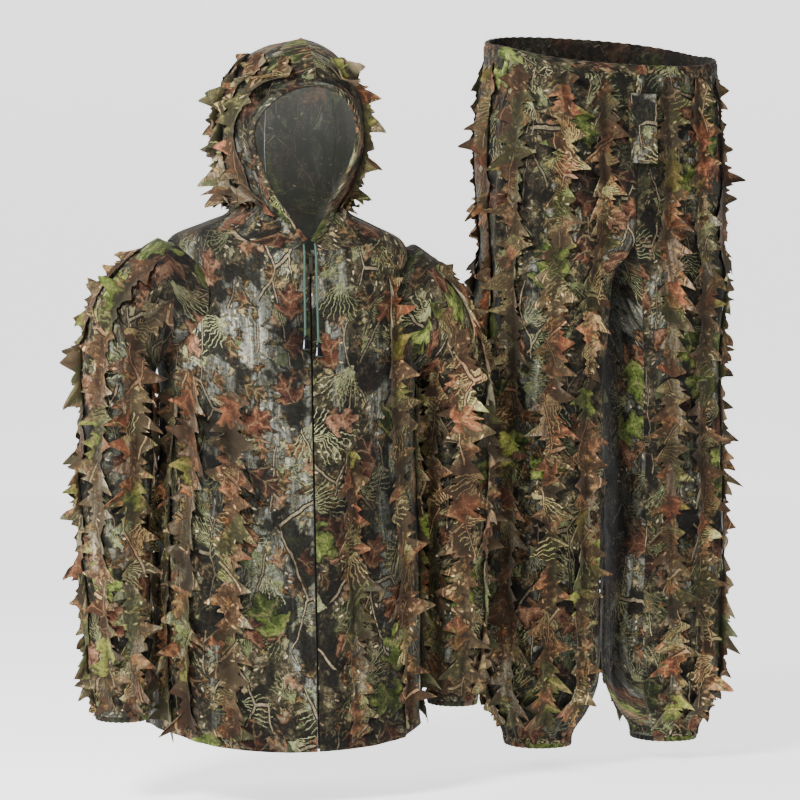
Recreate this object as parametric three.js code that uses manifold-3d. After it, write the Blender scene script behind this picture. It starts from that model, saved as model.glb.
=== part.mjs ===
// A two-piece leaf-cloth ghillie suit: a hooded zip jacket and its trousers, kept in the shape of a wearer.
// Millimetres, +Z up. The wearer faces -Y, so the wearer's right side is -X. The origin is where the jacket
// rests on the shoulders, in the middle of the neck.

import * as THREE from 'three';
import { mergeVertices } from 'three/addons/utils/BufferGeometryUtils.js';
import Module from 'manifold-3d';

const wasm = await Module();
wasm.setup();

// ---------------------------------------------------------------- driving dimensions

const CLOTH = 1.6; // a seamed double layer of the printed cloth
const SEAM_GAP = 0.6; // clearance between two sewn panels
const SQUARENESS = 2.4; // exponent of the rounded body sections, 2 is an ellipse

const HEM_Z = -745;
const CROWN_Z = 267;
const NECK_BACK_Z = 20;
const NECK_SIDE_Z = 16;
const NECK_FRONT_Z = -43;
const FRONT_DEPTH_TOP = 110; // from the neck to the front line, at the top of the zip
const FRONT_SLOPE = 0.06; // how far the front line leans out per millimetre of drop
const ZIP_TOP_Z = -45;
const ZIP_LENGTH = 690;
const ZIP_GAP = 3;

const ARMHOLE_RADIUS = 84;
const ARMHOLE_Z = -112;
const ARMHOLE_GAP = 2;
const ARM_X = 256; // middle of a hanging sleeve
const ARMPIT_X = 190;
const ARMPIT_DROP = 24; // from the armhole's lowest point to where the sleeve hangs free
const ARM_TOP_Z = ARMHOLE_Z - ARMHOLE_RADIUS - ARMPIT_DROP;
const ELBOW_Z = -430;
const ELBOW_Y = -4;
const ELBOW_BEND = 60;
const CUFF_Z = -712;

const FACE_HALF_WIDTH = 74;
const FACE_TOP_Z = 186;
const FACE_WIDEST_Z = 122;
const CASING_WIDTH = 14;
const CORD_RADIUS = 1.5;

const TROUSERS_X = 556; // the trousers' middle, beside and a little behind the jacket
const TROUSERS_Y = 104;
const WAIST_MIDDLE_Z = 300;
const WAIST_TILT = 38; // the waist is this much higher at the back than at its sides
const WAISTBAND_HEIGHT = 38;
const CROTCH_Z = -4;
const HIP_SQUARENESS = 2.6;
const FLAP_X = [-16, 31]; // the fly flap's two sides
const FLAP_Z = [108, 216];
const HIP_Y = 8;
const HIP_BEND = 45;
const KNEE_Z = -392;
const KNEE_Y = -5;
const KNEE_BEND = 50;
const ANKLE_Z = -800;

const CASING_HEIGHT = 17; // cuff and ankle casings
const CASING_DEPTH = 5;
const LEG_WEDGE = 150; // how far from a leg's fold its cloth is drawn back to let it bend
const WAIST_CASING_DEPTH = 6;
const CASING_GAP = 0.8; // from a casing to the cloth it is sewn to
const STRIP_HALF_WIDTH = 27; // a leaf ribbon, from its sewn middle to the points of its leaves
const STRIP_LIFT = 18; // how far the leaf points stand off the cloth
const STRIP_BASE = 3; // how far its sewn middle stands off
const STRIP_THICKNESS = 1;
const KNEE_STRIP_GAP = 26; // a leg ribbon stops this far from the knee's fold

// Leaf ribbons of the jacket and hood: [name, angle in degrees, lowest, highest]. Angle 0 is the front and
// the wearer's left is positive.
const BODY_RIBBONS = [
  ['hood_right', -100, 55, 215],
  ['hood_left', 100, 55, 215],
  ['front_outer_right', -54, -725, -215],
  ['front_inner_right', -32, -725, -245],
  ['front_inner_left', 14, -725, -330],
  ['front_outer_left', 43, -725, -75],
  ['back_right', -148, -725, -60],
  ['back_left', 148, -725, -60],
];

// ---------------------------------------------------------------- materials

const COLOURS = {
  printed_cloth: [0x4b4a38, 0.9, 0],
  ribbon_cloth: [0x6f4f33, 0.9, 0],
  casing_cloth: [0x3d4234, 0.9, 0],
  cord: [0x3f5a45, 0.75, 0],
  bell_plastic: [0x0b0c0d, 0.25, 0],
  zip_tape: [0x1d1f1b, 0.85, 0],
  zip_nylon: [0x121312, 0.45, 0],
  zip_metal: [0x24251f, 0.4, 0.7],
  elastic: [0xcfcbbf, 0.8, 0],
};

const suit = new THREE.Group();
const trousers = new THREE.Group();
trousers.position.set(TROUSERS_X, TROUSERS_Y, 0);
suit.add(trousers);

function addPiece(parent, name, geometry, finish) {
  const [color, roughness, metalness] = COLOURS[finish];
  const mesh = new THREE.Mesh(geometry, new THREE.MeshStandardMaterial({ color, roughness, metalness }));
  mesh.name = name;
  parent.add(mesh);
  return mesh;
}

// ---------------------------------------------------------------- general helpers

const radians = THREE.MathUtils.degToRad;
const lerp = THREE.MathUtils.lerp;
const vec = (x, y, z) => new THREE.Vector3(x, y, z);
const SIDES = [['right', -1], ['left', 1]];

// Smooth values between stations. A station is [height, value, value, ...], highest first.
function between(stations, z) {
  const last = stations.length - 1;
  let i = 0;
  while (i < last - 1 && z < stations[i + 1][0]) i += 1;
  const [above, below] = [stations[i], stations[i + 1]];
  const t = THREE.MathUtils.clamp((above[0] - z) / (above[0] - below[0]), 0, 1);
  const before = stations[Math.max(i - 1, 0)];
  const after = stations[Math.min(i + 2, last)];
  return above.slice(1).map((p1, k) => {
    const [p0, p2, p3] = [before[k + 1], below[k + 1], after[k + 1]];
    const slope1 = ((p2 - p0) / (before[0] - below[0] || 1)) * (above[0] - below[0]);
    const slope2 = ((p3 - p1) / (above[0] - after[0] || 1)) * (above[0] - below[0]);
    const [t2, t3] = [t * t, t * t * t];
    return (2 * t3 - 3 * t2 + 1) * p1 + (t3 - 2 * t2 + t) * slope1
      + (3 * t2 - 2 * t3) * p2 + (t3 - t2) * slope2;
  });
}

// A rounded section: angle 0 is the front, 90 degrees the wearer's left, 180 the back.
function sectionPoint(angle, halfWidth, front, back, squareness = SQUARENESS) {
  const power = 2 / squareness;
  const [s, c] = [Math.sin(angle), Math.cos(angle)];
  const x = halfWidth * Math.sign(s) * Math.abs(s) ** power;
  const y = -Math.sign(c) * (c > 0 ? front : back) * Math.abs(c) ** power;
  return [x, y];
}

function steps(from, to, count) {
  return Array.from({ length: count + 1 }, (_, i) => lerp(from, to, i / count));
}

function geometryOf(points, triangles) {
  const geometry = new THREE.BufferGeometry();
  const coordinates = points.flatMap((p) => [p.x, p.y, p.z]);
  geometry.setAttribute('position', new THREE.Float32BufferAttribute(coordinates, 3));
  geometry.setIndex(volumeOf(points, triangles) > 0 ? triangles : triangles.reverse());
  return geometry;
}

function volumeOf(points, triangles) {
  let volume = 0;
  for (let i = 0; i < triangles.length; i += 3) {
    const [a, b, c] = [0, 1, 2].map((k) => points[triangles[i + k]]);
    volume += a.dot(b.clone().cross(c));
  }
  return volume;
}

function quad(triangles, a, b, c, d) {
  triangles.push(a, b, c, a, c, d);
}

function surfaceNormal(surface, u, v, du, dv) {
  const along = surface(u + du, v).sub(surface(u - du, v));
  const across = surface(u, v + dv).sub(surface(u, v - dv));
  return along.cross(across).normalize();
}

// A closed sheet of cloth between two offsets from a surface. us and vs are the grid's values; a ring
// closes on itself in u. The offsets may be numbers or functions of u and v.
function sheet(surface, us, vs, low, high, { ring = false, outward = 1 } = {}) {
  const columns = ring ? us.slice(0, -1) : us;
  const [du, dv] = [(us[1] - us[0]) * 0.05, (vs[1] - vs[0]) * 0.05];
  const points = [];
  for (const offset of [low, high]) {
    for (const v of vs) {
      for (const u of columns) {
        const distance = typeof offset === 'function' ? offset(u, v) : offset;
        const normal = surfaceNormal(surface, u, v, du, dv);
        points.push(surface(u, v).addScaledVector(normal, distance * outward));
      }
    }
  }
  const [rows, width] = [vs.length, columns.length];
  const at = (layer, j, i) => (layer * rows + j) * width + (i % width);
  const triangles = [];
  const cells = ring ? width : width - 1;
  for (let i = 0; i < cells; i += 1) {
    for (let j = 0; j < rows - 1; j += 1) {
      quad(triangles, at(1, j, i), at(1, j, i + 1), at(1, j + 1, i + 1), at(1, j + 1, i));
      quad(triangles, at(0, j, i), at(0, j + 1, i), at(0, j + 1, i + 1), at(0, j, i + 1));
    }
    quad(triangles, at(0, 0, i), at(0, 0, i + 1), at(1, 0, i + 1), at(1, 0, i));
    quad(triangles, at(1, rows - 1, i), at(1, rows - 1, i + 1), at(0, rows - 1, i + 1), at(0, rows - 1, i));
  }
  if (!ring) {
    for (let j = 0; j < rows - 1; j += 1) {
      quad(triangles, at(0, j, 0), at(1, j, 0), at(1, j + 1, 0), at(0, j + 1, 0));
      quad(triangles, at(0, j, cells), at(0, j + 1, cells), at(1, j + 1, cells), at(1, j, cells));
    }
  }
  return geometryOf(points, triangles);
}

// Sweeps a section [[across, along], ...] through frames { at, across, along }.
function sweep(frames, section, closed) {
  const points = frames.flatMap(({ at, across, along }) => section.map(([a, b]) => (
    at.clone().addScaledVector(across, a).addScaledVector(along, b))));
  const [n, m] = [frames.length, section.length];
  const triangles = [];
  for (let j = 0; j < (closed ? n : n - 1); j += 1) {
    for (let i = 0; i < m; i += 1) {
      const [p, q] = [j * m, ((j + 1) % n) * m];
      quad(triangles, p + i, p + ((i + 1) % m), q + ((i + 1) % m), q + i);
    }
  }
  if (!closed) {
    const outline = section.map(([a, b]) => new THREE.Vector2(a, b));
    const area = THREE.ShapeUtils.area(outline);
    for (const face of THREE.ShapeUtils.triangulateShape(outline, [])) {
      const [a, b, c] = area > 0 ? face : [...face].reverse();
      triangles.push(c, b, a);
      triangles.push(...[a, b, c].map((k) => (n - 1) * m + k));
    }
  }
  return geometryOf(points, orientedLikeSides(points, triangles, n, m, closed));
}

// End caps face the same way round as the swept sides.
function orientedLikeSides(points, triangles, n, m, closed) {
  if (closed) return triangles;
  const sides = triangles.slice(0, (n - 1) * m * 6);
  const caps = triangles.slice((n - 1) * m * 6);
  const edges = new Set();
  for (let i = 0; i < sides.length; i += 3) {
    for (const k of [0, 1, 2]) edges.add(`${sides[i + k]}_${sides[i + ((k + 1) % 3)]}`);
  }
  const clash = [0, 1, 2].some((k) => edges.has(`${caps[k]}_${caps[(k + 1) % 3]}`));
  return sides.concat(clash ? caps.reverse() : caps);
}

function toSolid(geometry) {
  const plain = geometry.clone();
  plain.deleteAttribute('normal');
  plain.deleteAttribute('uv');
  const merged = mergeVertices(plain, 1e-4);
  return new wasm.Manifold(new wasm.Mesh({
    numProp: 3,
    vertProperties: new Float32Array(merged.attributes.position.array),
    triVerts: new Uint32Array(merged.index.array),
  }));
}

function fromSolid(solid) {
  const mesh = solid.getMesh();
  const geometry = new THREE.BufferGeometry();
  geometry.setAttribute('position', new THREE.BufferAttribute(new Float32Array(mesh.vertProperties), 3));
  geometry.setIndex(new THREE.BufferAttribute(new Uint32Array(mesh.triVerts), 1));
  return geometry;
}

function cut(geometry, ...tools) {
  return fromSolid(tools.reduce((solid, tool) => solid.subtract(toSolid(tool)), toSolid(geometry)));
}

// A folded casing, open along its top, and the elastic inside it, round a ring of the surface.
function casingAndElastic(surface, us, height, base, depth) {
  const frames = us.slice(0, -1).map((u) => {
    const normal = surfaceNormal(surface, u, base, (us[1] - us[0]) * 0.05, 1);
    normal.z = 0;
    return { at: surface(u, base), across: normal.normalize(), along: vec(0, 0, 1) };
  });
  const outside = normalPointsOut(frames) ? 1 : -1;
  const fold = [[0, 0], [0, height], [-1, height], [-1, 1], [1 - depth, 1], [1 - depth, height],
    [-depth, height], [-depth, 0]].map(([a, b]) => [a * outside, b]);
  const band = [[-1.6, 2], [-1.6, height - 2], [1.6 - depth, height - 2], [1.6 - depth, 2]]
    .map(([a, b]) => [a * outside, b]);
  return [sweep(frames, fold, true), sweep(frames, band, true)];
}

function normalPointsOut(frames) {
  const middle = vec(0, 0, 0);
  frames.forEach(({ at }) => middle.addScaledVector(at, 1 / frames.length));
  return frames[0].at.clone().sub(middle).dot(frames[0].across) > 0;
}

// A leaf ribbon: a strip of cloth sewn down its middle, with both wings standing off the surface.
function ribbon(surface, middle, vs, outward) {
  const places = (w, v) => {
    const spread = surface(middle + 0.02, v).sub(surface(middle - 0.02, v)).length() / 0.04;
    return surface(middle + (w * STRIP_HALF_WIDTH) / spread, v);
  };
  const lift = (w) => STRIP_BASE + STRIP_LIFT * Math.abs(w) ** 1.6;
  return sheet(places, steps(-1, 1, 4), vs, lift, (w) => lift(w) + STRIP_THICKNESS, { outward });
}

// ---------------------------------------------------------------- jacket body and hood

const frontDepth = (z) => FRONT_DEPTH_TOP + FRONT_SLOPE * (ZIP_TOP_Z - z);

// [height, half width, depth to the front, depth to the back]
const BODY = [
  [CROWN_Z, 0.5, 66, 42],
  [258, 38, 92, 64],
  [240, 66, 115, 84],
  [200, 90, 136, 104],
  [145, 101, 133, 116],
  [95, 98, 118, 112],
  [50, 91, 101, 98],
  [NECK_BACK_Z, 85, 94, 80],
  [2, 124, 98, 90],
  [-18, 170, 104, 101],
  [ZIP_TOP_Z, 183, FRONT_DEPTH_TOP, 112],
  [-110, 187, frontDepth(-110), 121],
  [-260, 190, frontDepth(-260), 128],
  [-420, 195, frontDepth(-420), 132],
  [-600, 201, frontDepth(-600), 138],
  [HEM_Z, 200, frontDepth(HEM_Z), 139],
];

function neckline(angle) {
  const facing = Math.cos(angle);
  const drop = facing > 0 ? (NECK_FRONT_Z - NECK_SIDE_Z) : (NECK_BACK_Z - NECK_SIDE_Z);
  return NECK_SIDE_Z + drop * facing * facing;
}

function bodyPoint(angle, z, closest = 0) {
  const [x, y] = sectionPoint(angle, ...between(BODY, z));
  const side = Math.sign(Math.sin(angle)) || 1;
  return vec(side * Math.max(Math.abs(x), closest), y, z);
}

const HALF_TURN = Math.PI;
const SEAM_ANGLE = 0.0015; // half the gap at a side seam, radians
const MIDDLE_ANGLE = 0.0005; // keeps a panel's edge off the middle line, radians
const TORSO_LEVELS = [0, 0.18, 0.36, 0.52, 0.66, 0.76, 0.84, 0.9, 0.94, 0.97, 1];
const HOOD_LEVELS = [0, 0.07, 0.15, 0.24, 0.36, 0.5, 0.64, 0.78, 0.89, 0.96, 1];

const torsoSheet = (closest) => (angle, t) => bodyPoint(angle, lerp(HEM_Z, neckline(angle), t), closest);

const armholeCutters = SIDES.map(([, side]) => {
  const radius = ARMHOLE_RADIUS + ARMHOLE_GAP;
  const cylinder = new THREE.CylinderGeometry(radius, radius, 160, 28);
  cylinder.rotateZ(HALF_TURN / 2);
  cylinder.translate(side * 180, 0, ARMHOLE_Z);
  return cylinder;
});

const backAngles = steps(HALF_TURN / 2 + SEAM_ANGLE, 1.5 * HALF_TURN - SEAM_ANGLE, 14);
const backPanel = sheet(torsoSheet(0), backAngles, TORSO_LEVELS, -CLOTH, 0);
addPiece(suit, 'jacket_back', cut(backPanel, ...armholeCutters), 'printed_cloth');

SIDES.forEach(([name, side], index) => {
  const angles = steps(side * MIDDLE_ANGLE, side * (HALF_TURN / 2 - SEAM_ANGLE), 8);
  const panel = sheet(torsoSheet(ZIP_GAP / 2), angles, TORSO_LEVELS, -CLOTH, 0, { outward: side });
  addPiece(suit, `jacket_front_${name}`, cut(panel, armholeCutters[index]), 'printed_cloth');
});

// The face opening's edge, as the middle line of its folded casing, from the right throat over the forehead
// to the left throat. offset moves it away from the opening.
const CASING_MIDDLE = CASING_WIDTH / 2 + ZIP_GAP / 2;
const THROAT_Z = NECK_FRONT_Z + 11;

function faceEdge(offset) {
  const widest = FACE_HALF_WIDTH + CASING_WIDTH / 2 + offset;
  const throat = CASING_MIDDLE + offset;
  const rise = FACE_TOP_Z - FACE_WIDEST_Z + CASING_WIDTH / 2 + offset;
  const cheek = steps(THROAT_Z, FACE_WIDEST_Z, 12).slice(0, -1).map((z) => {
    const t = (FACE_WIDEST_Z - z) / (FACE_WIDEST_Z - THROAT_Z);
    return [throat + (widest - throat) * (1 - t ** 1.5), z];
  });
  const brow = steps(HALF_TURN, 0, 18)
    .map((a) => [widest * Math.cos(a), FACE_WIDEST_Z + rise * Math.sin(a)]);
  return [...cheek.map(([x, z]) => [-x, z]), ...brow, ...cheek.reverse()];
}

function hoodHeight(angle, t) {
  return lerp(neckline(angle) + 1.5, CROWN_Z, t);
}

const hoodSheet = (closest) => (angle, t) => bodyPoint(angle, hoodHeight(angle, t), closest);

function faceCutter() {
  const outline = faceEdge(CASING_WIDTH / 2 + 1.6);
  const below = [[outline.at(-1)[0], THROAT_Z - 60], [outline[0][0], THROAT_Z - 60]];
  const shape = new THREE.Shape([...outline, ...below].map(([x, z]) => new THREE.Vector2(x, z)));
  const block = new THREE.ExtrudeGeometry(shape, { depth: 190, bevelEnabled: false });
  block.rotateX(HALF_TURN / 2);
  return block;
}

// Takes away whatever a panel has past the middle seam.
function seamCutter(side) {
  const edges = [-side * 40, side * SEAM_GAP / 2].sort((a, b) => a - b);
  return box(...edges, -300, 300, -100, 400);
}

for (const [name, side] of SIDES) {
  const angles = steps(side * MIDDLE_ANGLE, side * (HALF_TURN - MIDDLE_ANGLE), 13);
  const panel = sheet(hoodSheet(SEAM_GAP), angles, HOOD_LEVELS, -CLOTH, 0, { outward: side });
  addPiece(suit, `hood_${name}`, cut(panel, faceCutter(), seamCutter(side)), 'printed_cloth');
}

// A point of the body's front, found from its x and height.
function frontPoint(x, z) {
  const [halfWidth, front] = between(BODY, z);
  const share = Math.min(Math.abs(x) / halfWidth, 0.999);
  return vec(x, -front * (1 - share ** SQUARENESS) ** (1 / SQUARENESS), z);
}

function edgeFrames(path) {
  const places = path.map(([x, z]) => frontPoint(x, z));
  return places.map((at, i) => {
    const [next, previous] = [places[Math.min(i + 1, places.length - 1)], places[Math.max(i - 1, 0)]];
    const along = next.clone().sub(previous).normalize();
    const [x, z] = path[i];
    const sideways = frontPoint(x + 1, z).sub(frontPoint(x - 1, z));
    const upwards = frontPoint(x, z + 1).sub(frontPoint(x, z - 1));
    const normal = sideways.cross(upwards).normalize();
    const across = normal.clone().cross(along).normalize();
    return { at: at.addScaledVector(normal, -CLOTH / 2), across, along: normal };
  });
}

const edge = edgeFrames(faceEdge(0));
const half = CASING_WIDTH / 2; // the casing's section, folded round the drawcord
const edgeFold = [
  [half, -3.1], [half, -2.1], [0, -2.1], [1 - half, -2.1], [1 - half, 2.1], [0, 2.1], [half, 2.1], [half, 3.1],
  [-half, 3.1], [-half, -3.1],
];
addPiece(suit, 'hood_edge_casing', sweep(edge, edgeFold, false), 'casing_cloth');

const roundSection = steps(0, 2 * HALF_TURN, 8).slice(0, -1)
  .map((a) => [CORD_RADIUS * Math.cos(a), CORD_RADIUS * Math.sin(a)]);
addPiece(suit, 'drawcord', sweep(edge, roundSection, false), 'cord');

// ---------------------------------------------------------------- drawcord ends

const CORD_END_LENGTHS = { right: 146, left: 156 };
const BELL_X = { right: -13, left: 6 };
const BELL_STAND_OFF = 13; // from the chest to the bell's middle

// Hand-set: out of the casing, over the edge of the cloth, then straight down.
function cordEndRoute(name, side) {
  const top = edge[side < 0 ? 0 : edge.length - 1].at;
  const low = THROAT_Z - CORD_END_LENGTHS[name];
  const front = (z) => -frontDepth(z);
  return new THREE.CatmullRomCurve3([
    vec(top.x, top.y - 0.4, THROAT_Z - 1.6),
    vec(top.x, top.y - 3.6, THROAT_Z - 8),
    vec(lerp(top.x, BELL_X[name], 0.25), front(THROAT_Z - 20) - 5, THROAT_Z - 20),
    vec(lerp(top.x, BELL_X[name], 0.6), front(THROAT_Z - 60) - 8, THROAT_Z - 60),
    vec(BELL_X[name], front(low + 30) - BELL_STAND_OFF, low + 30),
    vec(BELL_X[name], front(low + 30) - BELL_STAND_OFF, low),
  ]);
}

const bellProfile = [
  [2.1, 0], [2.1, -4], [4, -8], [5.6, -15], [6.3, -20], [7.5, -20], [7.2, -17], [5.2, -11], [3.9, -4], [3.2, 0],
];

for (const [name, side] of SIDES) {
  const route = cordEndRoute(name, side);
  const circle = new THREE.Shape(roundSection.map(([a, b]) => new THREE.Vector2(a, b)));
  const cord = new THREE.ExtrudeGeometry(circle, { steps: 20, bevelEnabled: false, extrudePath: route });
  addPiece(suit, `drawcord_end_${name}`, cord, 'cord');
  const low = route.getPoint(1);
  const profile = bellProfile.map(([r, h]) => new THREE.Vector2(r, h));
  const bell = new THREE.LatheGeometry([...profile, profile[0]], 14);
  bell.rotateX(HALF_TURN / 2);
  addPiece(suit, `cord_bell_${name}`, bell, 'bell_plastic').position.set(low.x, low.y, low.z + 12);
}

// ---------------------------------------------------------------- centre-front zip

const zip = new THREE.Group();
zip.position.set(0, -frontDepth(ZIP_TOP_Z), ZIP_TOP_Z);
zip.rotation.x = -Math.atan(FRONT_SLOPE);
suit.add(zip);

function box(x0, x1, y0, y1, z0, z1) {
  const block = new THREE.BoxGeometry(x1 - x0, y1 - y0, z1 - z0);
  return block.translate((x0 + x1) / 2, (y0 + y1) / 2, (z0 + z1) / 2);
}

for (const [name, side] of SIDES) {
  const mirrored = (a, b, ...rest) => box(...[side * a, side * b].sort((p, q) => p - q), ...rest);
  addPiece(zip, `zip_tape_${name}`, mirrored(3.3, 15, 4.7, 5.5, -ZIP_LENGTH, 0), 'zip_tape');
  addPiece(zip, `zip_coil_${name}`, mirrored(1.2, 3, 4.1, 6.1, -ZIP_LENGTH, -1), 'zip_nylon');
}

const join = (...parts) => fromSolid(parts.map(toSolid).reduce((a, b) => a.add(b)));
const pin = new THREE.CylinderGeometry(0.8, 0.8, 6.4, 12).rotateZ(HALF_TURN / 2).translate(0, -2.6, -5);
addPiece(zip, 'zip_slider', join(
  box(-4.2, 4.2, 2.4, 3.6, -11, -1),
  box(-4.2, 4.2, 6.6, 7.8, -11, -1),
  box(-0.7, 0.7, 3, 7, -9, -2),
  box(-1, 1, -3.2, 3, -7, -3),
  pin,
), 'zip_metal');

const ear = (x0, x1) => box(x0, x1, -4, -1.2, -9, -3.4);
const pinHole = new THREE.CylinderGeometry(1.1, 1.1, 20, 12).rotateZ(HALF_TURN / 2).translate(0, -2.6, -5);
addPiece(zip, 'zip_pull', cut(join(
  ear(1.5, 2.7),
  ear(-2.7, -1.5),
  box(-2.7, 2.7, -3.4, -1.8, -32, -8.5),
), pinHole), 'zip_metal');

// ---------------------------------------------------------------- sleeves

// A section of the sleeve: its inner and outer points (x, z), its half depth and how far back it lies.
function sleeveSection(t) {
  if (t <= 1) {
    const bottom = ARMHOLE_Z - ARMHOLE_RADIUS;
    const x = lerp(142, ARMPIT_X, t);
    const outer = [x - 5 * t, ARMHOLE_Z + ARMHOLE_RADIUS];
    return { inner: [x, bottom], outer, depth: ARMHOLE_RADIUS, y: 0 };
  }
  if (t <= 2) {
    const turn = (t - 1) * HALF_TURN / 2;
    const reach = 104 + 72 * (1 - Math.sin(turn)) ** 1.1;
    const inner = [ARMPIT_X + 14 * Math.sin(turn), ARMHOLE_Z - ARMHOLE_RADIUS - ARMPIT_DROP * (t - 1)];
    const outer = [inner[0] + reach * Math.sin(turn), inner[1] + reach * Math.cos(turn)];
    return { inner, outer, depth: lerp(ARMHOLE_RADIUS, 77, (t - 1) ** 1.3), y: 0 };
  }
  const z = lerp(ARM_TOP_Z, CUFF_Z, t - 2);
  const [halfWidth, depth, y, x] = between(ARM, z);
  return { inner: [x - halfWidth, z], outer: [x + halfWidth, z], depth, y };
}

// [height, half width, half depth, how far back, middle x]
const ARM = [
  [-200, 52, 78, 0, ARM_X],
  [-330, 52, 74, -1, ARM_X],
  [ELBOW_Z, 51, 70, ELBOW_Y, ARM_X - 1],
  [-560, 49, 64, -11, ARM_X - 2],
  [-650, 45, 58, -18, ARM_X - 3],
  [-685, 38, 47, -20, ARM_X - 3],
  [CUFF_Z, 35, 42, -21, ARM_X - 3],
];
const armLevel = (z) => 2 + (ARM_TOP_Z - z) / (ARM_TOP_Z - CUFF_Z);

// A cut that opens on one side of a fold, so that the two lengths can bend towards each other.
const wedge = (y, pivot, bend, forward) => Math.max(0, forward * (pivot - y)) * Math.tan(radians(bend / 2));

function sleevePoint(side) {
  return (v, t) => {
    const { inner, outer, depth, y } = sleeveSection(t);
    const c = (1 - Math.cos(v)) / 2;
    return vec(side * lerp(inner[0], outer[0], c), y + depth * Math.sin(v), lerp(inner[1], outer[1], c));
  };
}

// Shifts a surface's ends up or down by a wedge that fades out away from the fold.
function wedged(surface, fold, reach, amount) {
  return (u, v) => {
    const point = surface(u, v);
    const near = Math.max(0, 1 - Math.abs(v - fold) / reach);
    point.z += amount(point.y) * near;
    return point;
  };
}

const around = steps(0, 2 * HALF_TURN, 16);
const aroundCasing = steps(0, 2 * HALF_TURN, 14);
const elbow = armLevel(ELBOW_Z);
const cuffTop = armLevel(CUFF_Z + CASING_HEIGHT + CASING_GAP);
const elbowGap = 0.5 / (ARM_TOP_Z - CUFF_Z);

for (const [name, side] of SIDES) {
  const surface = sleevePoint(side);
  const upper = wedged(surface, elbow, 0.4, (y) => wedge(y, ELBOW_Y, ELBOW_BEND, 1));
  const lower = wedged(surface, elbow, 0.3, (y) => -wedge(y, ELBOW_Y, ELBOW_BEND, 1));
  const upperLevels = [0, 1, 1.18, 1.36, 1.54, 1.72, 1.88, 2, 2.2, 2.35, elbow - elbowGap];
  const lowerLevels = steps(elbow + elbowGap, cuffTop, 6);
  const options = { ring: true, outward: side };
  for (const [part, place, levels] of [['upper', upper, upperLevels], ['lower', lower, lowerLevels]]) {
    const tube = sheet(place, around, levels, -CLOTH, 0, options);
    addPiece(suit, `sleeve_${name}_${part}`, tube, 'printed_cloth');
  }
  const level = (v, z) => surface(v, armLevel(z));
  const [casing, band] = casingAndElastic(level, aroundCasing, CASING_HEIGHT, CUFF_Z, CASING_DEPTH);
  addPiece(suit, `cuff_casing_${name}`, casing, 'casing_cloth');
  addPiece(suit, `cuff_elastic_${name}`, band, 'elastic');
}

// ---------------------------------------------------------------- trousers

// [height, half width, depth to the front, depth to the back]
const HIPS = [
  [360, 181, 119, 122],
  [300, 182, 121, 124],
  [240, 188, 127, 131],
  [140, 197, 133, 141],
  [60, 199, 132, 143],
  [CROTCH_Z, 197, 128, 139],
  [-60, 195, 126, 136],
];

const waistTop = (angle) => WAIST_MIDDLE_Z - WAIST_TILT * Math.cos(angle);

function hipPoint(angle, z, closest = 0) {
  const [x, y] = sectionPoint(angle, ...between(HIPS, z), HIP_SQUARENESS);
  const side = Math.sign(Math.sin(angle)) || 1;
  return vec(side * Math.max(Math.abs(x), closest), y, z);
}

const hipSheet = (angle, t) => {
  const z = lerp(CROTCH_Z + SEAM_GAP, waistTop(angle) - WAISTBAND_HEIGHT - SEAM_GAP, t);
  const point = hipPoint(angle, z, SEAM_GAP / 2);
  point.z += wedge(point.y, HIP_Y, HIP_BEND, 1) * Math.max(0, 1 - t / 0.6);
  return point;
};

for (const [name, side] of SIDES) {
  const quarters = [
    ['front', MIDDLE_ANGLE, HALF_TURN / 2 - SEAM_ANGLE],
    ['back', HALF_TURN / 2 + SEAM_ANGLE, HALF_TURN - MIDDLE_ANGLE],
  ];
  for (const [part, from, to] of quarters) {
    const angles = steps(side * from, side * to, 7);
    const panel = sheet(hipSheet, angles, steps(0, 1, 5), -CLOTH, 0, { outward: side });
    addPiece(trousers, `trousers_${part}_${name}`, panel, 'printed_cloth');
  }
}

const fly = (x, z) => {
  const [halfWidth, front] = between(HIPS, z);
  const share = (Math.abs(x) / halfWidth) ** HIP_SQUARENESS;
  return vec(x, -front * (1 - share) ** (1 / HIP_SQUARENESS), z);
};
const flap = sheet(fly, steps(...FLAP_X, 4), steps(...FLAP_Z, 4), 1, 1 + CLOTH);
addPiece(trousers, 'fly_flap', flap, 'printed_cloth');

const waistSurface = (angle, z) => {
  const point = hipPoint(angle, WAIST_MIDDLE_Z - WAISTBAND_HEIGHT);
  point.z = z - WAIST_TILT * Math.cos(angle);
  return point;
};
const waistAngles = steps(0, 2 * HALF_TURN, 24);
const [waistband, waistElastic] = casingAndElastic(waistSurface, waistAngles, WAISTBAND_HEIGHT,
  WAIST_MIDDLE_Z - WAISTBAND_HEIGHT, WAIST_CASING_DEPTH);
addPiece(trousers, 'waistband', waistband, 'casing_cloth');
addPiece(trousers, 'waist_elastic', waistElastic, 'elastic');

// [height, half width, depth to the front, depth to the back, middle x]
const LEG = [
  [CROTCH_Z, 95, 124, 134, 100],
  [-90, 93, 115, 122, 101],
  [-220, 91, 108, 112, 103],
  [KNEE_Z, 89, 103, 104, 105],
  [-560, 90, 101, 102, 107],
  [-690, 91, 98, 99, 108],
  [-745, 76, 80, 80, 109],
  [-778, 54, 58, 58, 110],
  [ANKLE_Z, 49, 54, 54, 110],
];

function legPoint(side) {
  return (angle, z) => {
    const [halfWidth, front, back, middle] = between(LEG, z);
    const squareness = lerp(2.2, 3.4, THREE.MathUtils.smoothstep(z, -260, CROTCH_Z));
    const [x, y] = sectionPoint(angle, halfWidth, front, back, squareness);
    return vec(side * middle + x, y, z);
  };
}

const ankleTop = ANKLE_Z + CASING_HEIGHT + CASING_GAP;

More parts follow.
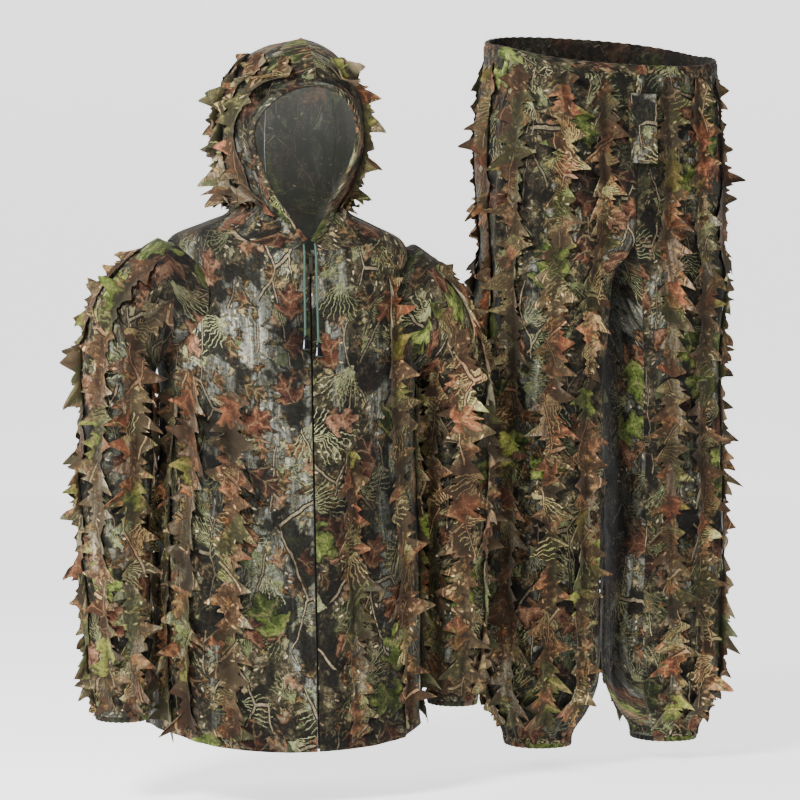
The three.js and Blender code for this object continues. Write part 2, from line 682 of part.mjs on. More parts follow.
for (const [name, side] of SIDES) {
  const surface = legPoint(side);
  const dropped = wedged(surface, CROTCH_Z, LEG_WEDGE, (y) => -wedge(y, HIP_Y, HIP_BEND, 1));
  const thigh = wedged(dropped, KNEE_Z, LEG_WEDGE, (y) => wedge(y, KNEE_Y, KNEE_BEND, -1));
  const shin = wedged(surface, KNEE_Z, LEG_WEDGE, (y) => -wedge(y, KNEE_Y, KNEE_BEND, -1));
  const options = { ring: true, outward: 1 };
  const thighLevels = steps(KNEE_Z + SEAM_GAP, CROTCH_Z - SEAM_GAP, 6);
  const thighTube = sheet(thigh, around, thighLevels, -CLOTH, 0, options);
  addPiece(trousers, `thigh_${name}`, thighTube, 'printed_cloth');
  const shinLevels = [ankleTop, -765, -745, -720, -690, -590, -480, KNEE_Z - SEAM_GAP];
  addPiece(trousers, `shin_${name}`, sheet(shin, around, shinLevels, -CLOTH, 0, options), 'printed_cloth');
  const [casing, band] = casingAndElastic(surface, aroundCasing, CASING_HEIGHT, ANKLE_Z, CASING_DEPTH);
  addPiece(trousers, `ankle_casing_${name}`, casing, 'casing_cloth');
  addPiece(trousers, `ankle_elastic_${name}`, band, 'elastic');
}

// ---------------------------------------------------------------- leaf ribbons

for (const [name, angle, lowest, highest] of BODY_RIBBONS) {
  const strip = ribbon(bodyPoint, radians(angle), steps(lowest, highest, 7), 1);
  addPiece(suit, `ribbon_${name}`, strip, 'ribbon_cloth');
}

for (const [name, side] of SIDES) {
  const addStrip = (parent, place, ...strip) => {
    addPiece(parent, `ribbon_${place}_${name}`, ribbon(...strip), 'ribbon_cloth');
  };
  const sleeve = sleevePoint(side);
  addStrip(suit, 'sleeve_upper', sleeve, HALF_TURN, steps(1.5, elbow - 0.05, 7), side);
  addStrip(suit, 'sleeve_lower', sleeve, HALF_TURN, steps(elbow + 0.05, cuffTop - 0.04, 5), side);
  const leg = legPoint(side);
  const outerSide = (side * HALF_TURN) / 2;
  const shinLevels = steps(-740, KNEE_Z - KNEE_STRIP_GAP, 7);
  addStrip(trousers, 'thigh_side', leg, outerSide, steps(KNEE_Z + KNEE_STRIP_GAP, CROTCH_Z - 8, 5), 1);
  addStrip(trousers, 'shin_side', leg, outerSide, shinLevels, 1);
  addStrip(trousers, 'shin_front', leg, side * radians(14), shinLevels, 1);
}

export default suit;
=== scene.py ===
# %% [markdown]
# # A leaf-cloth ghillie suit in cells
# The suit is two garments: a hooded jacket that zips up the front, and elastic-waist trousers.
# Both are sewn from thin knitted polyester that is printed with leaf litter. Ribbons of the
# same cloth, cut along both edges into leaf points, are sewn on down their middles, so that the
# wings stand off the garment and break up the wearer's outline.
#
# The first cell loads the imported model, which fixes where everything is. All shapes below are
# worked out in millimetres in that same frame: the origin is between the wearer's shoulders, +Z
# is up, and the wearer faces -Y. The meshes are turned into metres at the last moment.

# %% Load the frame
import math

import bmesh
import bpy
import numpy as np
from mathutils import Matrix, Vector


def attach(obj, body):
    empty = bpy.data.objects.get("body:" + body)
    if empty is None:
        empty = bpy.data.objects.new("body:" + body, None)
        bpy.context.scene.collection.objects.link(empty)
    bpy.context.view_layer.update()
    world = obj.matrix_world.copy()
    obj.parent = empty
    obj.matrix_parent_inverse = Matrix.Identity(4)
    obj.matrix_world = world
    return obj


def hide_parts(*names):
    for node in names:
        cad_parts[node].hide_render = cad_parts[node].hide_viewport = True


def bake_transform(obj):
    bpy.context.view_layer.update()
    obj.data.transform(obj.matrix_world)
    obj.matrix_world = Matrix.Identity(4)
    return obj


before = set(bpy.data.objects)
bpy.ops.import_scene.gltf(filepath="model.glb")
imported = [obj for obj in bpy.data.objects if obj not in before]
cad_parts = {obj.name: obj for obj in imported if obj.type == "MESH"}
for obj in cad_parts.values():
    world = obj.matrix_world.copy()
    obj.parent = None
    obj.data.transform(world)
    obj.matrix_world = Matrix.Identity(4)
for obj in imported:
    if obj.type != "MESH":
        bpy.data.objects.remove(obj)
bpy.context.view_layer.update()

MM = 0.001

# %% [markdown]
# ## Camera, light and floor
# A long lens from far away keeps the two garments close to parallel, as a shop picture does.
# The camera stands to the wearer's right of the middle and looks level. The light is a big soft
# source on the same side, so the wearer's left sleeve and the far trouser leg fall into shade,
# and a weak one fills in. A world of pale grey alone would look flat; one key light with a soft
# edge shows every fold.

# %% Camera
CAMERA_PLACE = (-1.007, -3.253, -0.257)
CAMERA_TURN = math.radians(-20)
LENS_MM = 104
camera_data = bpy.data.cameras.new("camera")
camera_data.lens = LENS_MM
camera = bpy.data.objects.new("camera", camera_data)
camera.location = CAMERA_PLACE
camera.rotation_euler = (math.pi / 2, 0, CAMERA_TURN)
bpy.context.scene.collection.objects.link(camera)
bpy.context.scene.camera = camera
print("lens", LENS_MM, "mm at", CAMERA_PLACE)

# %% Lights
LIGHTS = [  # name, place, aimed at, size in metres, watts
    ("key_light", (-1.55, -1.2, 1.15), (0.05, 0.0, -0.15), 0.7, 135),
    ("fill_light", (0.2, -4.4, 0.6), (0.2, 0.0, -0.2), 2.4, 14),
    ("rim_light", (-2.2, 2.4, 1.6), (0.2, 0.0, -0.2), 1.4, 40),
]
for name, place, target, size, watts in LIGHTS:
    data = bpy.data.lights.new(name, "AREA")
    data.size = size
    data.energy = watts
    light = bpy.data.objects.new(name, data)
    light.location = place
    aim = Vector(target) - Vector(place)
    light.rotation_euler = aim.to_track_quat("-Z", "Y").to_euler()
    bpy.context.scene.collection.objects.link(light)
world = bpy.data.worlds.new("studio")
world.use_nodes = True
world.node_tree.nodes["Background"].inputs["Color"].default_value = (1.0, 1.0, 1.0, 1.0)
world.node_tree.nodes["Background"].inputs["Strength"].default_value = 0.10
bpy.context.scene.world = world
print(len(LIGHTS), "lights")

# %% [markdown]
# ## Two helpers for materials
# Colours are picked as sRGB hex, the way a paint chart gives them, but a shader works in linear
# light, so one function turns one into the other. The second adds a shader node, sets its
# inputs and makes its links, so that a material reads as a list of steps. An input may be a
# number, a colour or another node.

# %% Colour and node helpers
def linear(hex_colour):
    """An sRGB hex colour as linear red, green, blue and alpha."""
    parts = [int(hex_colour[i:i + 2], 16) / 255 for i in (1, 3, 5)]
    return tuple(p / 12.92 if p <= 0.04045 else ((p + 0.055) / 1.055) ** 2.4
                 for p in parts) + (1.0,)


def add(tree, kind, inputs=(), **settings):
    """Adds a shader node with its settings, its input values and its links, and returns it."""
    made = tree.nodes.new(kind if kind.startswith("NodeGroup") else "ShaderNode" + kind)
    for name, value in settings.items():
        setattr(made, name, value)
    for socket, value in inputs.items() if isinstance(inputs, dict) else enumerate(inputs):
        if isinstance(value, bpy.types.Node):
            value = value.outputs[0]
        if isinstance(value, bpy.types.NodeSocket):
            tree.links.new(value, made.inputs[socket])
        elif value is not None:
            made.inputs[socket].default_value = value
    return made


def new_material(name):
    """An empty material and its node tree, with the shader already on the output."""
    material = bpy.data.materials.new(name)
    material.use_nodes = True
    tree = material.node_tree
    tree.nodes.clear()
    shader = add(tree, "BsdfPrincipled")
    add(tree, "OutputMaterial", {"Surface": shader.outputs[0]})
    return material, tree, shader


print("helpers ready; mid grey is", linear("#808080")[0])

# %% [markdown]
# ## The print, part one: scattered leaves
# The cloth is printed with a picture of the forest floor. Painting it as an image would be
# quicker, but a pattern made of nodes has no edge and no repeat. One leaf layer works like
# this: a Voronoi texture gives every cell a centre and a random colour. Seen from its centre,
# each cell turns by a random angle, and a leaf outline is drawn there: a long oval whose width
# swells and shrinks, which makes the lobes of an oak. The lobes lean towards the tip because
# the swelling is measured along slanted lines, the side veins.

# %% Leaf layer
FULL_TURN = 2 * math.pi
LEAF_HALF_LENGTH = 0.46  # of a cell
MAP = "cloth"  # the UV map that lays every piece of cloth flat, in metres


def group_tree(name, inputs, outputs):
    """A node group with float or vector inputs and float or colour outputs."""
    tree = bpy.data.node_groups.new(name, "ShaderNodeTree")
    for title, kind in inputs:
        tree.interface.new_socket(title, in_out="INPUT", socket_type="NodeSocket" + kind)
    for title, kind in outputs:
        tree.interface.new_socket(title, in_out="OUTPUT", socket_type="NodeSocket" + kind)
    return tree, add(tree, "NodeGroupInput").outputs, add(tree, "NodeGroupOutput").inputs


def cell_frame(tree, given, wobble):
    """Scatters cells over the cloth. Returns the Voronoi node's random colour parts and, in each cell's
    own turned frame, how far along and across a point is."""
    scale = add(tree, "Math", [1.0, given["Cell"]], operation="DIVIDE")
    flat = add(
        tree, "VectorMath", {0: given["Place"], "Scale": scale.outputs[0]}, operation="SCALE")
    shift = add(
        tree, "VectorMath", {0: (7.31, 3.17, 0.0), "Scale": given["Seed"]}, operation="SCALE")
    moved = add(tree, "VectorMath", [flat, shift], operation="ADD")
    rough = add(tree, "TexNoise", {"Vector": moved.outputs[0], "Scale": 6.0, "Detail": 3.0},
                noise_dimensions="2D")
    off = add(
        tree, "VectorMath", [rough.outputs["Color"], (0.5, 0.5, 0.5)], operation="SUBTRACT")
    bent = add(
        tree, "VectorMath", {0: off, 1: (wobble, wobble, 0.0), 2: moved},
        operation="MULTIPLY_ADD")
    cells = add(tree, "TexVoronoi",
                {"Vector": moved.outputs[0], "Scale": 1.0, "Randomness": 1.0},
                voronoi_dimensions="2D")
    local = add(tree, "VectorMath", [bent, cells.outputs["Position"]], operation="SUBTRACT")
    chance = add(tree, "SeparateColor", [cells.outputs["Color"]])
    angle = add(tree, "Math", [chance.outputs[0], FULL_TURN], operation="MULTIPLY")
    turned = add(tree, "VectorRotate", {"Vector": local.outputs[0], "Angle": angle.outputs[0]},
                 rotation_type="Z_AXIS")
    axes = add(tree, "SeparateXYZ", [turned])
    return chance.outputs, axes.outputs[0], axes.outputs[1]


leaf_group, given, result = group_tree(
    "leaf layer",
    [("Place", "Vector"), ("Cell", "Float"), ("Share", "Float"), ("Seed", "Float"),
     ("Width", "Float"), ("Lobes", "Float"), ("Depth", "Float")],
    [("Leaf", "Float"), ("Rim", "Float"), ("Vein", "Float"), ("Tone", "Float"),
     ("Body", "Float")])
chance, along, across = cell_frame(leaf_group, given, 0.19)
side = add(leaf_group, "Math", [across], operation="ABSOLUTE")
slant = add(leaf_group, "Math", [side, -0.7, along], operation="MULTIPLY_ADD")
reach = add(leaf_group, "Math", [along, LEAF_HALF_LENGTH], operation="DIVIDE")
reach2 = add(leaf_group, "Math", [reach, reach], operation="MULTIPLY")
oval = add(leaf_group, "Math", [1.0, reach2], operation="SUBTRACT", use_clamp=True)
lobe_turn = add(leaf_group, "Math", [slant, given["Lobes"]], operation="MULTIPLY")
lobe_angle = add(leaf_group, "Math", [lobe_turn, FULL_TURN], operation="MULTIPLY")
swell = add(leaf_group, "Math", [lobe_angle], operation="COSINE")
swell_part = add(leaf_group, "Math", [swell, given["Depth"], 1.0], operation="MULTIPLY_ADD")
half_width = add(leaf_group, "Math", [oval, swell_part], operation="MULTIPLY")
half_width = add(leaf_group, "Math", [half_width, given["Width"]], operation="MULTIPLY")
inside = add(leaf_group, "Math", [half_width, side], operation="SUBTRACT")
present = add(leaf_group, "Math", [chance[2], given["Share"]], operation="LESS_THAN")
leaf_mask = add(leaf_group, "Math", [inside, 0.0], operation="GREATER_THAN")
rim_mask = add(leaf_group, "Math", [inside, -0.05], operation="GREATER_THAN")
side_vein = add(leaf_group, "Math", [lobe_turn, 0.5], operation="PINGPONG")
side_vein = add(leaf_group, "Math", [side_vein, 0.09], operation="LESS_THAN")
mid_vein = add(leaf_group, "Math", [side, 0.014], operation="LESS_THAN")
leaf_group.links.new(add(leaf_group, "Math", [leaf_mask, present],
                         operation="MULTIPLY").outputs[0],
                     result["Leaf"])
leaf_group.links.new(add(leaf_group, "Math", [rim_mask, present],
                         operation="MULTIPLY").outputs[0],
                     result["Rim"])
leaf_group.links.new(add(leaf_group, "Math", [side_vein, mid_vein],
                         operation="MAXIMUM").outputs[0],
                     result["Vein"])
leaf_group.links.new(chance[1], result["Tone"])
leaf_group.links.new(inside.outputs[0], result["Body"])
print("leaf layer has", len(leaf_group.nodes), "nodes")

# %% [markdown]
# ## The print, part two: pine needles
# Between the leaves lie tufts of needles. The same scattered cells are used, but each cell
# draws a fan of thin rays: the sine of many times the angle round the centre is near nought
# along each ray.

# %% Needle layer
needle_group, given, result = group_tree(
    "needle layer",
    [("Place", "Vector"), ("Cell", "Float"), ("Share", "Float"), ("Seed", "Float")],
    [("Needle", "Float"), ("Tone", "Float")])
chance, along, across = cell_frame(needle_group, given, 0.16)
base = add(needle_group, "Math", [along, 0.42], operation="ADD")
angle = add(needle_group, "Math", [across, base], operation="ARCTAN2")
rays = add(needle_group, "Math", [angle, 21.0], operation="MULTIPLY")
rays = add(needle_group, "Math", [rays], operation="SINE")
rays = add(needle_group, "Math", [rays], operation="ABSOLUTE")
far2 = add(needle_group, "Math", [across, across], operation="MULTIPLY")
far2 = add(needle_group, "Math", [base, base, far2], operation="MULTIPLY_ADD")
far = add(needle_group, "Math", [far2, 0.5], operation="POWER")
ray_width = add(needle_group, "Math", [rays, far], operation="MULTIPLY")
thin = add(needle_group, "Math", [ray_width, 0.19], operation="LESS_THAN")
spread = add(needle_group, "Math", [angle], operation="ABSOLUTE")
fan = add(needle_group, "Math", [spread, 0.62], operation="LESS_THAN")
short = add(needle_group, "Math", [far, 0.80], operation="LESS_THAN")
present = add(needle_group, "Math", [chance[2], given["Share"]], operation="LESS_THAN")
needle = add(needle_group, "Math", [thin, fan], operation="MULTIPLY")
needle = add(needle_group, "Math", [needle, short], operation="MULTIPLY")
needle = add(needle_group, "Math", [needle, present], operation="MULTIPLY")
needle_group.links.new(needle.outputs[0], result["Needle"])
needle_group.links.new(chance[1], result["Tone"])
print("needle layer has", len(needle_group.nodes), "nodes")

# %% [markdown]
# ## The print, part three: the whole forest floor
# The layers are stacked as a printer would: dark ground and bark first, small litter, needles,
# twigs, then the big rust and green leaves on top. Each leaf gets a dark rim under it, the
# shadow that makes it look as if it lay on the ones below. Sizes are those of real leaves:
# litter about 20 mm, oak leaves 50 to 80 mm.

# %% Forest floor group
LEAF_LAYERS = [
    # cell mm, share, seed, width, lobes, lobe depth, colours from dark to light
    (10, 0.66, 1.0, 0.17, 0.0, 0.0, ["#120f09", "#2b2519", "#3f3626", "#6a5f47", "#b3a688"]),
    (24, 0.55, 2.0, 0.19, 2.1, 0.30, ["#211b11", "#43260f", "#3c3d22", "#7d6d4c", "#515a45"]),
    (44, 0.50, 3.0, 0.25, 3.2, 0.50, ["#33200f", "#2b2c1b", "#51301c", "#575040", "#6c4a31"]),
    (61, 0.34, 4.0, 0.29, 2.6, 0.45, ["#1f150f", "#3b2318", "#523021", "#483021", "#785541"]),
    (78, 0.20, 5.0, 0.29, 2.6, 0.45, ["#1c2210", "#343e18", "#4b5822", "#3b4520", "#78843f"]),
]
GROUND = ["#0a0906", "#1b1910", "#2d291c", "#47402e", "#726851"]
TRUNK = ["#171610", "#3a3930", "#5b5c54", "#8d8c7e"]


def colour_band(tree, factor, colours):
    """A colour ramp with its colours evenly spaced."""
    made = add(tree, "ValToRGB", [factor])
    ramp = made.color_ramp
    for i, colour in enumerate(colours):
        stop = ramp.elements[i] if i < 2 else ramp.elements.new(1.0)
        stop.position = i / (len(colours) - 1)
        stop.color = linear(colour)
    return made


floor_group, given, result = group_tree(
    "forest floor print", [("Place", "Vector")], [("Colour", "Color"), ("Relief", "Float")])
place = given["Place"]
tree = floor_group
fine = add(tree, "TexNoise", {"Vector": place, "Scale": 55.0, "Detail": 7.0, "Roughness": 0.68},
           noise_dimensions="2D")
spread = add(tree, "MapRange", {"Value": fine.outputs[0], "From Min": 0.30, "From Max": 0.70})
colour = colour_band(tree, spread, GROUND)
stretched = add(tree, "VectorMath", [place, (62.0, 9.0, 1.0)], operation="MULTIPLY")
bark = add(tree, "TexNoise",
           {"Vector": stretched.outputs[0], "Scale": 1.0, "Detail": 6.0, "Roughness": 0.7,
                              "Distortion": 0.4}, noise_dimensions="2D")
bark_spread = add(
    tree, "MapRange", {"Value": bark.outputs[0], "From Min": 0.32, "From Max": 0.68})
bark_colour = colour_band(tree, bark_spread, TRUNK)
trunks = add(tree, "VectorMath", [place, (9.0, 1.6, 1.0)], operation="MULTIPLY")
trunk_place = add(tree, "TexNoise", {"Vector": trunks.outputs[0], "Scale": 1.0, "Detail": 2.0,
                                     "Distortion": 0.5}, noise_dimensions="2D")
trunk_mask = add(
    tree, "MapRange", {"Value": trunk_place.outputs[0], "From Min": 0.54, "From Max": 0.57})
colour = add(tree, "MixRGB", {0: trunk_mask, 1: colour, 2: bark_colour})
relief = add(tree, "Math", [fine.outputs[0], 0.4], operation="MULTIPLY")


def lay_leaves(tree, colour, relief, layer):
    """Puts one leaf layer on top of the colour so far, with the leaves' shadow rims."""
    cell, share, seed, width, lobes, depth, colours = layer
    leaves = add(tree, "Group", node_tree=leaf_group)
    values = {"Place": place, "Cell": cell * MM, "Share": share, "Seed": seed, "Width": width,
              "Lobes": lobes, "Depth": depth}
    for socket, value in values.items():
        if isinstance(value, bpy.types.NodeSocket):
            tree.links.new(value, leaves.inputs[socket])
        else:
            leaves.inputs[socket].default_value = value
    mottled = add(tree, "Math", [fine.outputs[0], -0.5], operation="ADD")
    toned = add(
        tree, "Math", [mottled, 2.0, leaves.outputs["Tone"]], operation="MULTIPLY_ADD",
        use_clamp=True)
    face = colour_band(tree, toned, colours)
    veined = add(tree, "Math", [leaves.outputs["Vein"], 0.16], operation="MULTIPLY")
    face = add(tree, "MixRGB", {0: veined, 1: face, 2: linear("#a8946a")})
    middle = add(tree, "MapRange",
                 {"Value": leaves.outputs["Body"], "From Min": 0.0, "From Max": 0.16,
                                    "To Min": 0.62, "To Max": 1.15})
    face = add(tree, "VectorMath", {0: face, "Scale": middle.outputs[0]}, operation="SCALE")
    shadow = add(tree, "Math", [leaves.outputs["Rim"], 0.78], operation="MULTIPLY")
    colour = add(tree, "MixRGB", {0: shadow, 1: colour, 2: linear("#0b0a06")})
    colour = add(tree, "MixRGB", {0: leaves.outputs["Leaf"], 1: colour, 2: face})
    relief = add(tree, "Math", [leaves.outputs["Leaf"], 0.25, relief], operation="MULTIPLY_ADD")
    return colour, relief


def lay_needles(tree, colour, cell, share, seed, light, dark):
    """Puts tufts of needles on top of the colour so far."""
    tufts = add(tree, "Group", {}, node_tree=needle_group)
    tree.links.new(place, tufts.inputs["Place"])
    tufts.inputs["Cell"].default_value = cell * MM
    tufts.inputs["Share"].default_value = share
    tufts.inputs["Seed"].default_value = seed
    tint = colour_band(tree, tufts.outputs["Tone"], [dark, light])
    return add(tree, "MixRGB", {0: tufts.outputs["Needle"], 1: colour, 2: tint})


colour, relief = lay_leaves(tree, colour, relief, LEAF_LAYERS[0])
colour, relief = lay_leaves(tree, colour, relief, LEAF_LAYERS[1])
colour = lay_needles(tree, colour, 62, 0.62, 11.0, "#777a52", "#3b442a")
colour, relief = lay_leaves(tree, colour, relief, LEAF_LAYERS[2])
gap_place = add(
    tree, "TexNoise", {"Vector": place, "Scale": 17.0, "Detail": 3.0}, noise_dimensions="2D")
gaps = add(
    tree, "MapRange",
    {"Value": gap_place.outputs[0], "From Min": 0.54, "From Max": 0.60, "To Max": 0.9})
colour = add(tree, "MixRGB", {0: gaps, 1: colour, 2: linear("#0d0c08")})
colour = lay_needles(tree, colour, 78, 0.46, 17.0, "#8d8c66", "#454f33")
twig_bend = add(
    tree, "TexNoise", {"Vector": place, "Scale": 24.0, "Detail": 2.0}, noise_dimensions="2D")
twig_place = add(tree, "VectorMath",
                 {0: twig_bend.outputs["Color"], 1: (0.013, 0.013, 0.0), 2: place},
                 operation="MULTIPLY_ADD")
twig_cells = add(tree, "VectorMath", [twig_place, (19.0, 8.0, 1.0)], operation="MULTIPLY")
twigs = add(tree, "TexVoronoi", {"Vector": twig_cells.outputs[0], "Scale": 1.0},
            voronoi_dimensions="2D", feature="DISTANCE_TO_EDGE")
twig_gate = add(
    tree, "TexNoise", {"Vector": place, "Scale": 14.0, "Detail": 0.0}, noise_dimensions="2D")
twig_gate = add(tree, "Math", [twig_gate.outputs[0], 0.50], operation="GREATER_THAN")
twig_dark = add(tree, "Math", [twigs, 0.038], operation="LESS_THAN")
twig_dark = add(tree, "Math", [twig_dark, twig_gate], operation="MULTIPLY")
twig_light = add(tree, "Math", [twigs, 0.018], operation="LESS_THAN")
twig_light = add(tree, "Math", [twig_light, twig_gate], operation="MULTIPLY")
twig_tone = colour_band(tree, twig_bend.outputs[0], ["#3c3022", "#8f8268"])
colour = add(tree, "MixRGB", {0: twig_dark, 1: colour, 2: linear("#12100a")})
colour = add(tree, "MixRGB", {0: twig_light, 1: colour, 2: twig_tone})
colour, relief = lay_leaves(tree, colour, relief, LEAF_LAYERS[3])
colour, relief = lay_leaves(tree, colour, relief, LEAF_LAYERS[4])
grain = add(tree, "TexNoise",
            {"Vector": place, "Scale": 210.0, "Detail": 6.0, "Roughness": 0.75},
            noise_dimensions="2D")
grain = add(tree, "MapRange", {"Value": grain.outputs[0], "From Min": 0.25, "From Max": 0.75,
                               "To Min": 0.10, "To Max": 2.2})
colour = add(tree, "VectorMath", {0: colour, "Scale": grain.outputs[0]}, operation="SCALE")
patch = add(
    tree, "TexNoise", {"Vector": place, "Scale": 6.0, "Detail": 1.0}, noise_dimensions="2D")
patch = add(tree, "MapRange", {"Value": patch.outputs[0], "From Min": 0.3, "From Max": 0.7,
                               "To Min": 0.38, "To Max": 1.7})
colour = add(tree, "VectorMath", {0: colour, "Scale": patch.outputs[0]}, operation="SCALE")
floor_group.links.new(colour.outputs[0], result["Colour"])
floor_group.links.new(relief.outputs[0], result["Relief"])
print("forest floor print has", len(floor_group.nodes), "nodes")

# %% [markdown]
# ## Printed polyester tricot
# Tricot is a fine warp knit, with ribs about 0.6 mm apart. They are too fine to show here, so
# they are drawn 1.4 mm apart. Polyester has an IOR near 1.57, and a knit of it is dull with a
# faint sheen where the loops catch the light. The inside of the cloth takes only part of the
# ink, so it is paler and greyer. The leaf ribbons are the same cloth, darker along the seam
# where the wings shade each other.

# %% Cloth materials
RIB_MM = 1.4
POLYESTER_IOR = 1.57


RIBBON_LEAF_MM = 52.0
RIBBON_TINTS = [
    "#6a5846", "#6a4c3a", "#8a8070", "#525b38", "#655a4b", "#6f5342", "#5b5345", "#8f8775"]


def cloth_material(name, wash, wash_colour, strength, offset, roughness=0.78, ribbon=False):
    """Printed knit. wash is how much of wash_colour covers the print, strength brightens it."""
    material, tree, shader = new_material(name)
    uv = add(tree, "UVMap", uv_map=MAP)
    moved = add(tree, "VectorMath", [uv, offset], operation="ADD")
    print_node = add(tree, "Group", [moved], node_tree=floor_group)
    colour = add(tree, "MixRGB", {0: wash, 1: print_node.outputs[0], 2: linear(wash_colour)})
    colour = add(tree, "VectorMath", {0: colour, "Scale": strength}, operation="SCALE")
    if ribbon:
        leafy = add(tree, "TexVoronoi",
                    {"Vector": uv.outputs[0], "Scale": 1000.0 / RIBBON_LEAF_MM},
                    voronoi_dimensions="2D")
        hue = add(tree, "SeparateXYZ", [leafy.outputs["Color"]])
        tint = colour_band(tree, hue.outputs[0], RIBBON_TINTS)
        tint.color_ramp.interpolation = "CONSTANT"
        doubled = add(tree, "VectorMath", {0: tint, "Scale": 6.5}, operation="SCALE")
        tinted = add(tree, "VectorMath", [colour, doubled], operation="MULTIPLY")
        colour = add(tree, "MixRGB", {0: 0.6, 1: colour, 2: tinted})
        reach = add(tree, "Attribute", attribute_name="reach")
        shade = add(tree, "MapRange",
                    {"Value": reach.outputs["Fac"], "From Min": 0.0, "From Max": 0.5,
                                       "To Min": 0.55, "To Max": 1.05})
        colour = add(
            tree, "VectorMath", {0: colour, "Scale": shade.outputs[0]}, operation="SCALE")
    tree.links.new(colour.outputs[0], shader.inputs["Base Color"])
    ribs = add(
        tree, "VectorMath", {0: uv, "Scale": FULL_TURN / (RIB_MM * MM)}, operation="SCALE")
    ribs = add(tree, "VectorMath", [ribs], operation="SINE")
    ribs = add(tree, "SeparateXYZ", [ribs])
    knit = add(tree, "Math", [ribs.outputs[0], ribs.outputs[1]], operation="MULTIPLY")
    slub = add(tree, "TexNoise", {"Vector": uv.outputs[0], "Scale": 420.0, "Detail": 2.0})
    height = add(tree, "Math", [knit, 0.25, slub.outputs[0]], operation="MULTIPLY_ADD")
    height = add(
        tree, "Math", [print_node.outputs["Relief"], 0.5, height], operation="MULTIPLY_ADD")
    bump = add(
        tree, "Bump", {"Height": height.outputs[0], "Strength": 0.45, "Distance": 0.0006})
    tree.links.new(bump.outputs[0], shader.inputs["Normal"])
    uneven = add(
        tree, "MapRange",
        {"Value": slub.outputs[0], "To Min": roughness - 0.1, "To Max": roughness + 0.1})
    tree.links.new(uneven.outputs[0], shader.inputs["Roughness"])
    shader.inputs["IOR"].default_value = POLYESTER_IOR
    shader.inputs["Specular IOR Level"].default_value = 0.12
    shader.inputs["Sheen Weight"].default_value = 0.04
    shader.inputs["Sheen Roughness"].default_value = 0.5
    return material


tricot_face = cloth_material("printed_polyester_tricot", 0.0, "#8d9495", 0.64, (0.0, 0.0, 0.0))
tricot_back = cloth_material("tricot_wrong_side", 0.45, "#9a9c97", 1.55, (0.0, 0.0, 0.0))
ribbon_face = cloth_material(
    "leaf_cut_tricot", 0.08, "#a08c70", 0.98, (0.37, 0.21, 0.0), ribbon=True)
ribbon_back = cloth_material(
    "leaf_cut_tricot_wrong_side", 0.42, "#8c8a76", 0.95, (0.37, 0.21, 0.0), ribbon=True)
# Painted shade: a darker copy of the wrong side. The inside of the trousers and of the waistband takes it, so
# that it looks to be in shade.
wrong_side_painted_shade = cloth_material(
    "tricot_wrong_side_painted_shade", 0.3, "#4a443b", 0.30, (0.0, 0.0, 0.0))
print(
    "cloth materials:", tricot_face.name, tricot_back.name, wrong_side_painted_shade.name, ribbon_face.name,
    ribbon_back.name)

# %% [markdown]
# ## Shapes shared by every piece of cloth
# Each garment is a stack of rounded sections whose sizes are given at a few heights and eased
# in between, the way a tailor's chart gives chest, waist and hip. A grid of points is laid over
# that surface, pushed in and out by folds, and given a thickness. The alternative, a cloth
# simulation on a body, would lose the exact places of the seams and joints, so the folds are
# worked out instead: soft random hills stretched along the hang of the cloth, and gathers where
# an elastic pulls it in.

# %% Sections and folds
SQUARENESS = 2.4


def between(stations, z):
    """Eased values of a table of [height, value, value...] at heights z, one row for each height."""
    table = np.array(stations, float)[::-1]
    h, v = table[:, 0], table[:, 1:]
    slope = np.empty_like(v)
    slope[1:-1] = (v[2:] - v[:-2]) / (h[2:] - h[:-2])[:, None]
    slope[0] = (v[1] - v[0]) / (h[1] - h[0])
    slope[-1] = (v[-1] - v[-2]) / (h[-1] - h[-2])
    z = np.clip(np.asarray(z, float), h[0], h[-1])
    i = np.clip(np.searchsorted(h, z, side="right") - 1, 0, len(h) - 2)
    step = (h[i + 1] - h[i])[..., None]
    t = (z[..., None] - h[i][..., None]) / step
    return ((2 * t**3 - 3 * t**2 + 1) * v[i] + (t**3 - 2 * t**2 + t) * step * slope[i]
            + (3 * t**2 - 2 * t**3) * v[i + 1] + (t**3 - t**2) * step * slope[i + 1])


def section(angle, half_width, front, back, squareness=SQUARENESS):
    """A rounded section: angle 0 is the front, a quarter turn the wearer's left, a half turn the back."""
    s, c = np.sin(angle), np.cos(angle)
    x = half_width * np.sign(s) * np.abs(s) ** (2 / squareness)
    y = -np.sign(c) * np.where(c > 0, front, back) * np.abs(c) ** (2 / squareness)
    return x, y


def ease(x, low, high):
    """Rises smoothly from 0 at low to 1 at high."""
    t = np.clip((np.asarray(x, float) - low) / (high - low), 0, 1)
    return t * t * (3 - 2 * t)


def hills(x, y, seed, period=64):
    """Smooth random hills from -1 to 1, about one unit apart. They repeat after period units of x."""
    table = np.random.default_rng(seed).uniform(-1, 1, (64, 64))
    x, y = np.broadcast_arrays(np.asarray(x, float), np.asarray(y, float))
    i, j = np.floor(x).astype(int), np.floor(y).astype(int)
    u, v = x - i, y - j
    u, v = u * u * (3 - 2 * u), v * v * (3 - 2 * v)
    i0, i1, j0, j1 = i % period, (i + 1) % period, j % 64, (j + 1) % 64
    low = table[i0, j0] * (1 - u) + table[i1, j0] * u
    high = table[i0, j1] * (1 - u) + table[i1, j1] * u
    return low * (1 - v) + high * v


def creases(x, y, seed, period=64):
    """Narrow folds: sharp crests between wide hollows, from 0 to 1."""
    return (1 - np.abs(hills(x, y, seed, period))) ** 4


def even(points, count):
    """count + 1 points spaced evenly along a polyline."""
    steps = np.linalg.norm(np.diff(points, axis=0), axis=1)
    run = np.concatenate([[0], np.cumsum(steps)])
    at = np.linspace(0, run[-1], count + 1)
    return np.stack([np.interp(at, run, points[:, k]) for k in range(points.shape[1])], 1)


print("chest is", 2 * between([[0, 187.0], [-200, 190.0]], np.array([-100.0]))[0, 0], "mm wide")

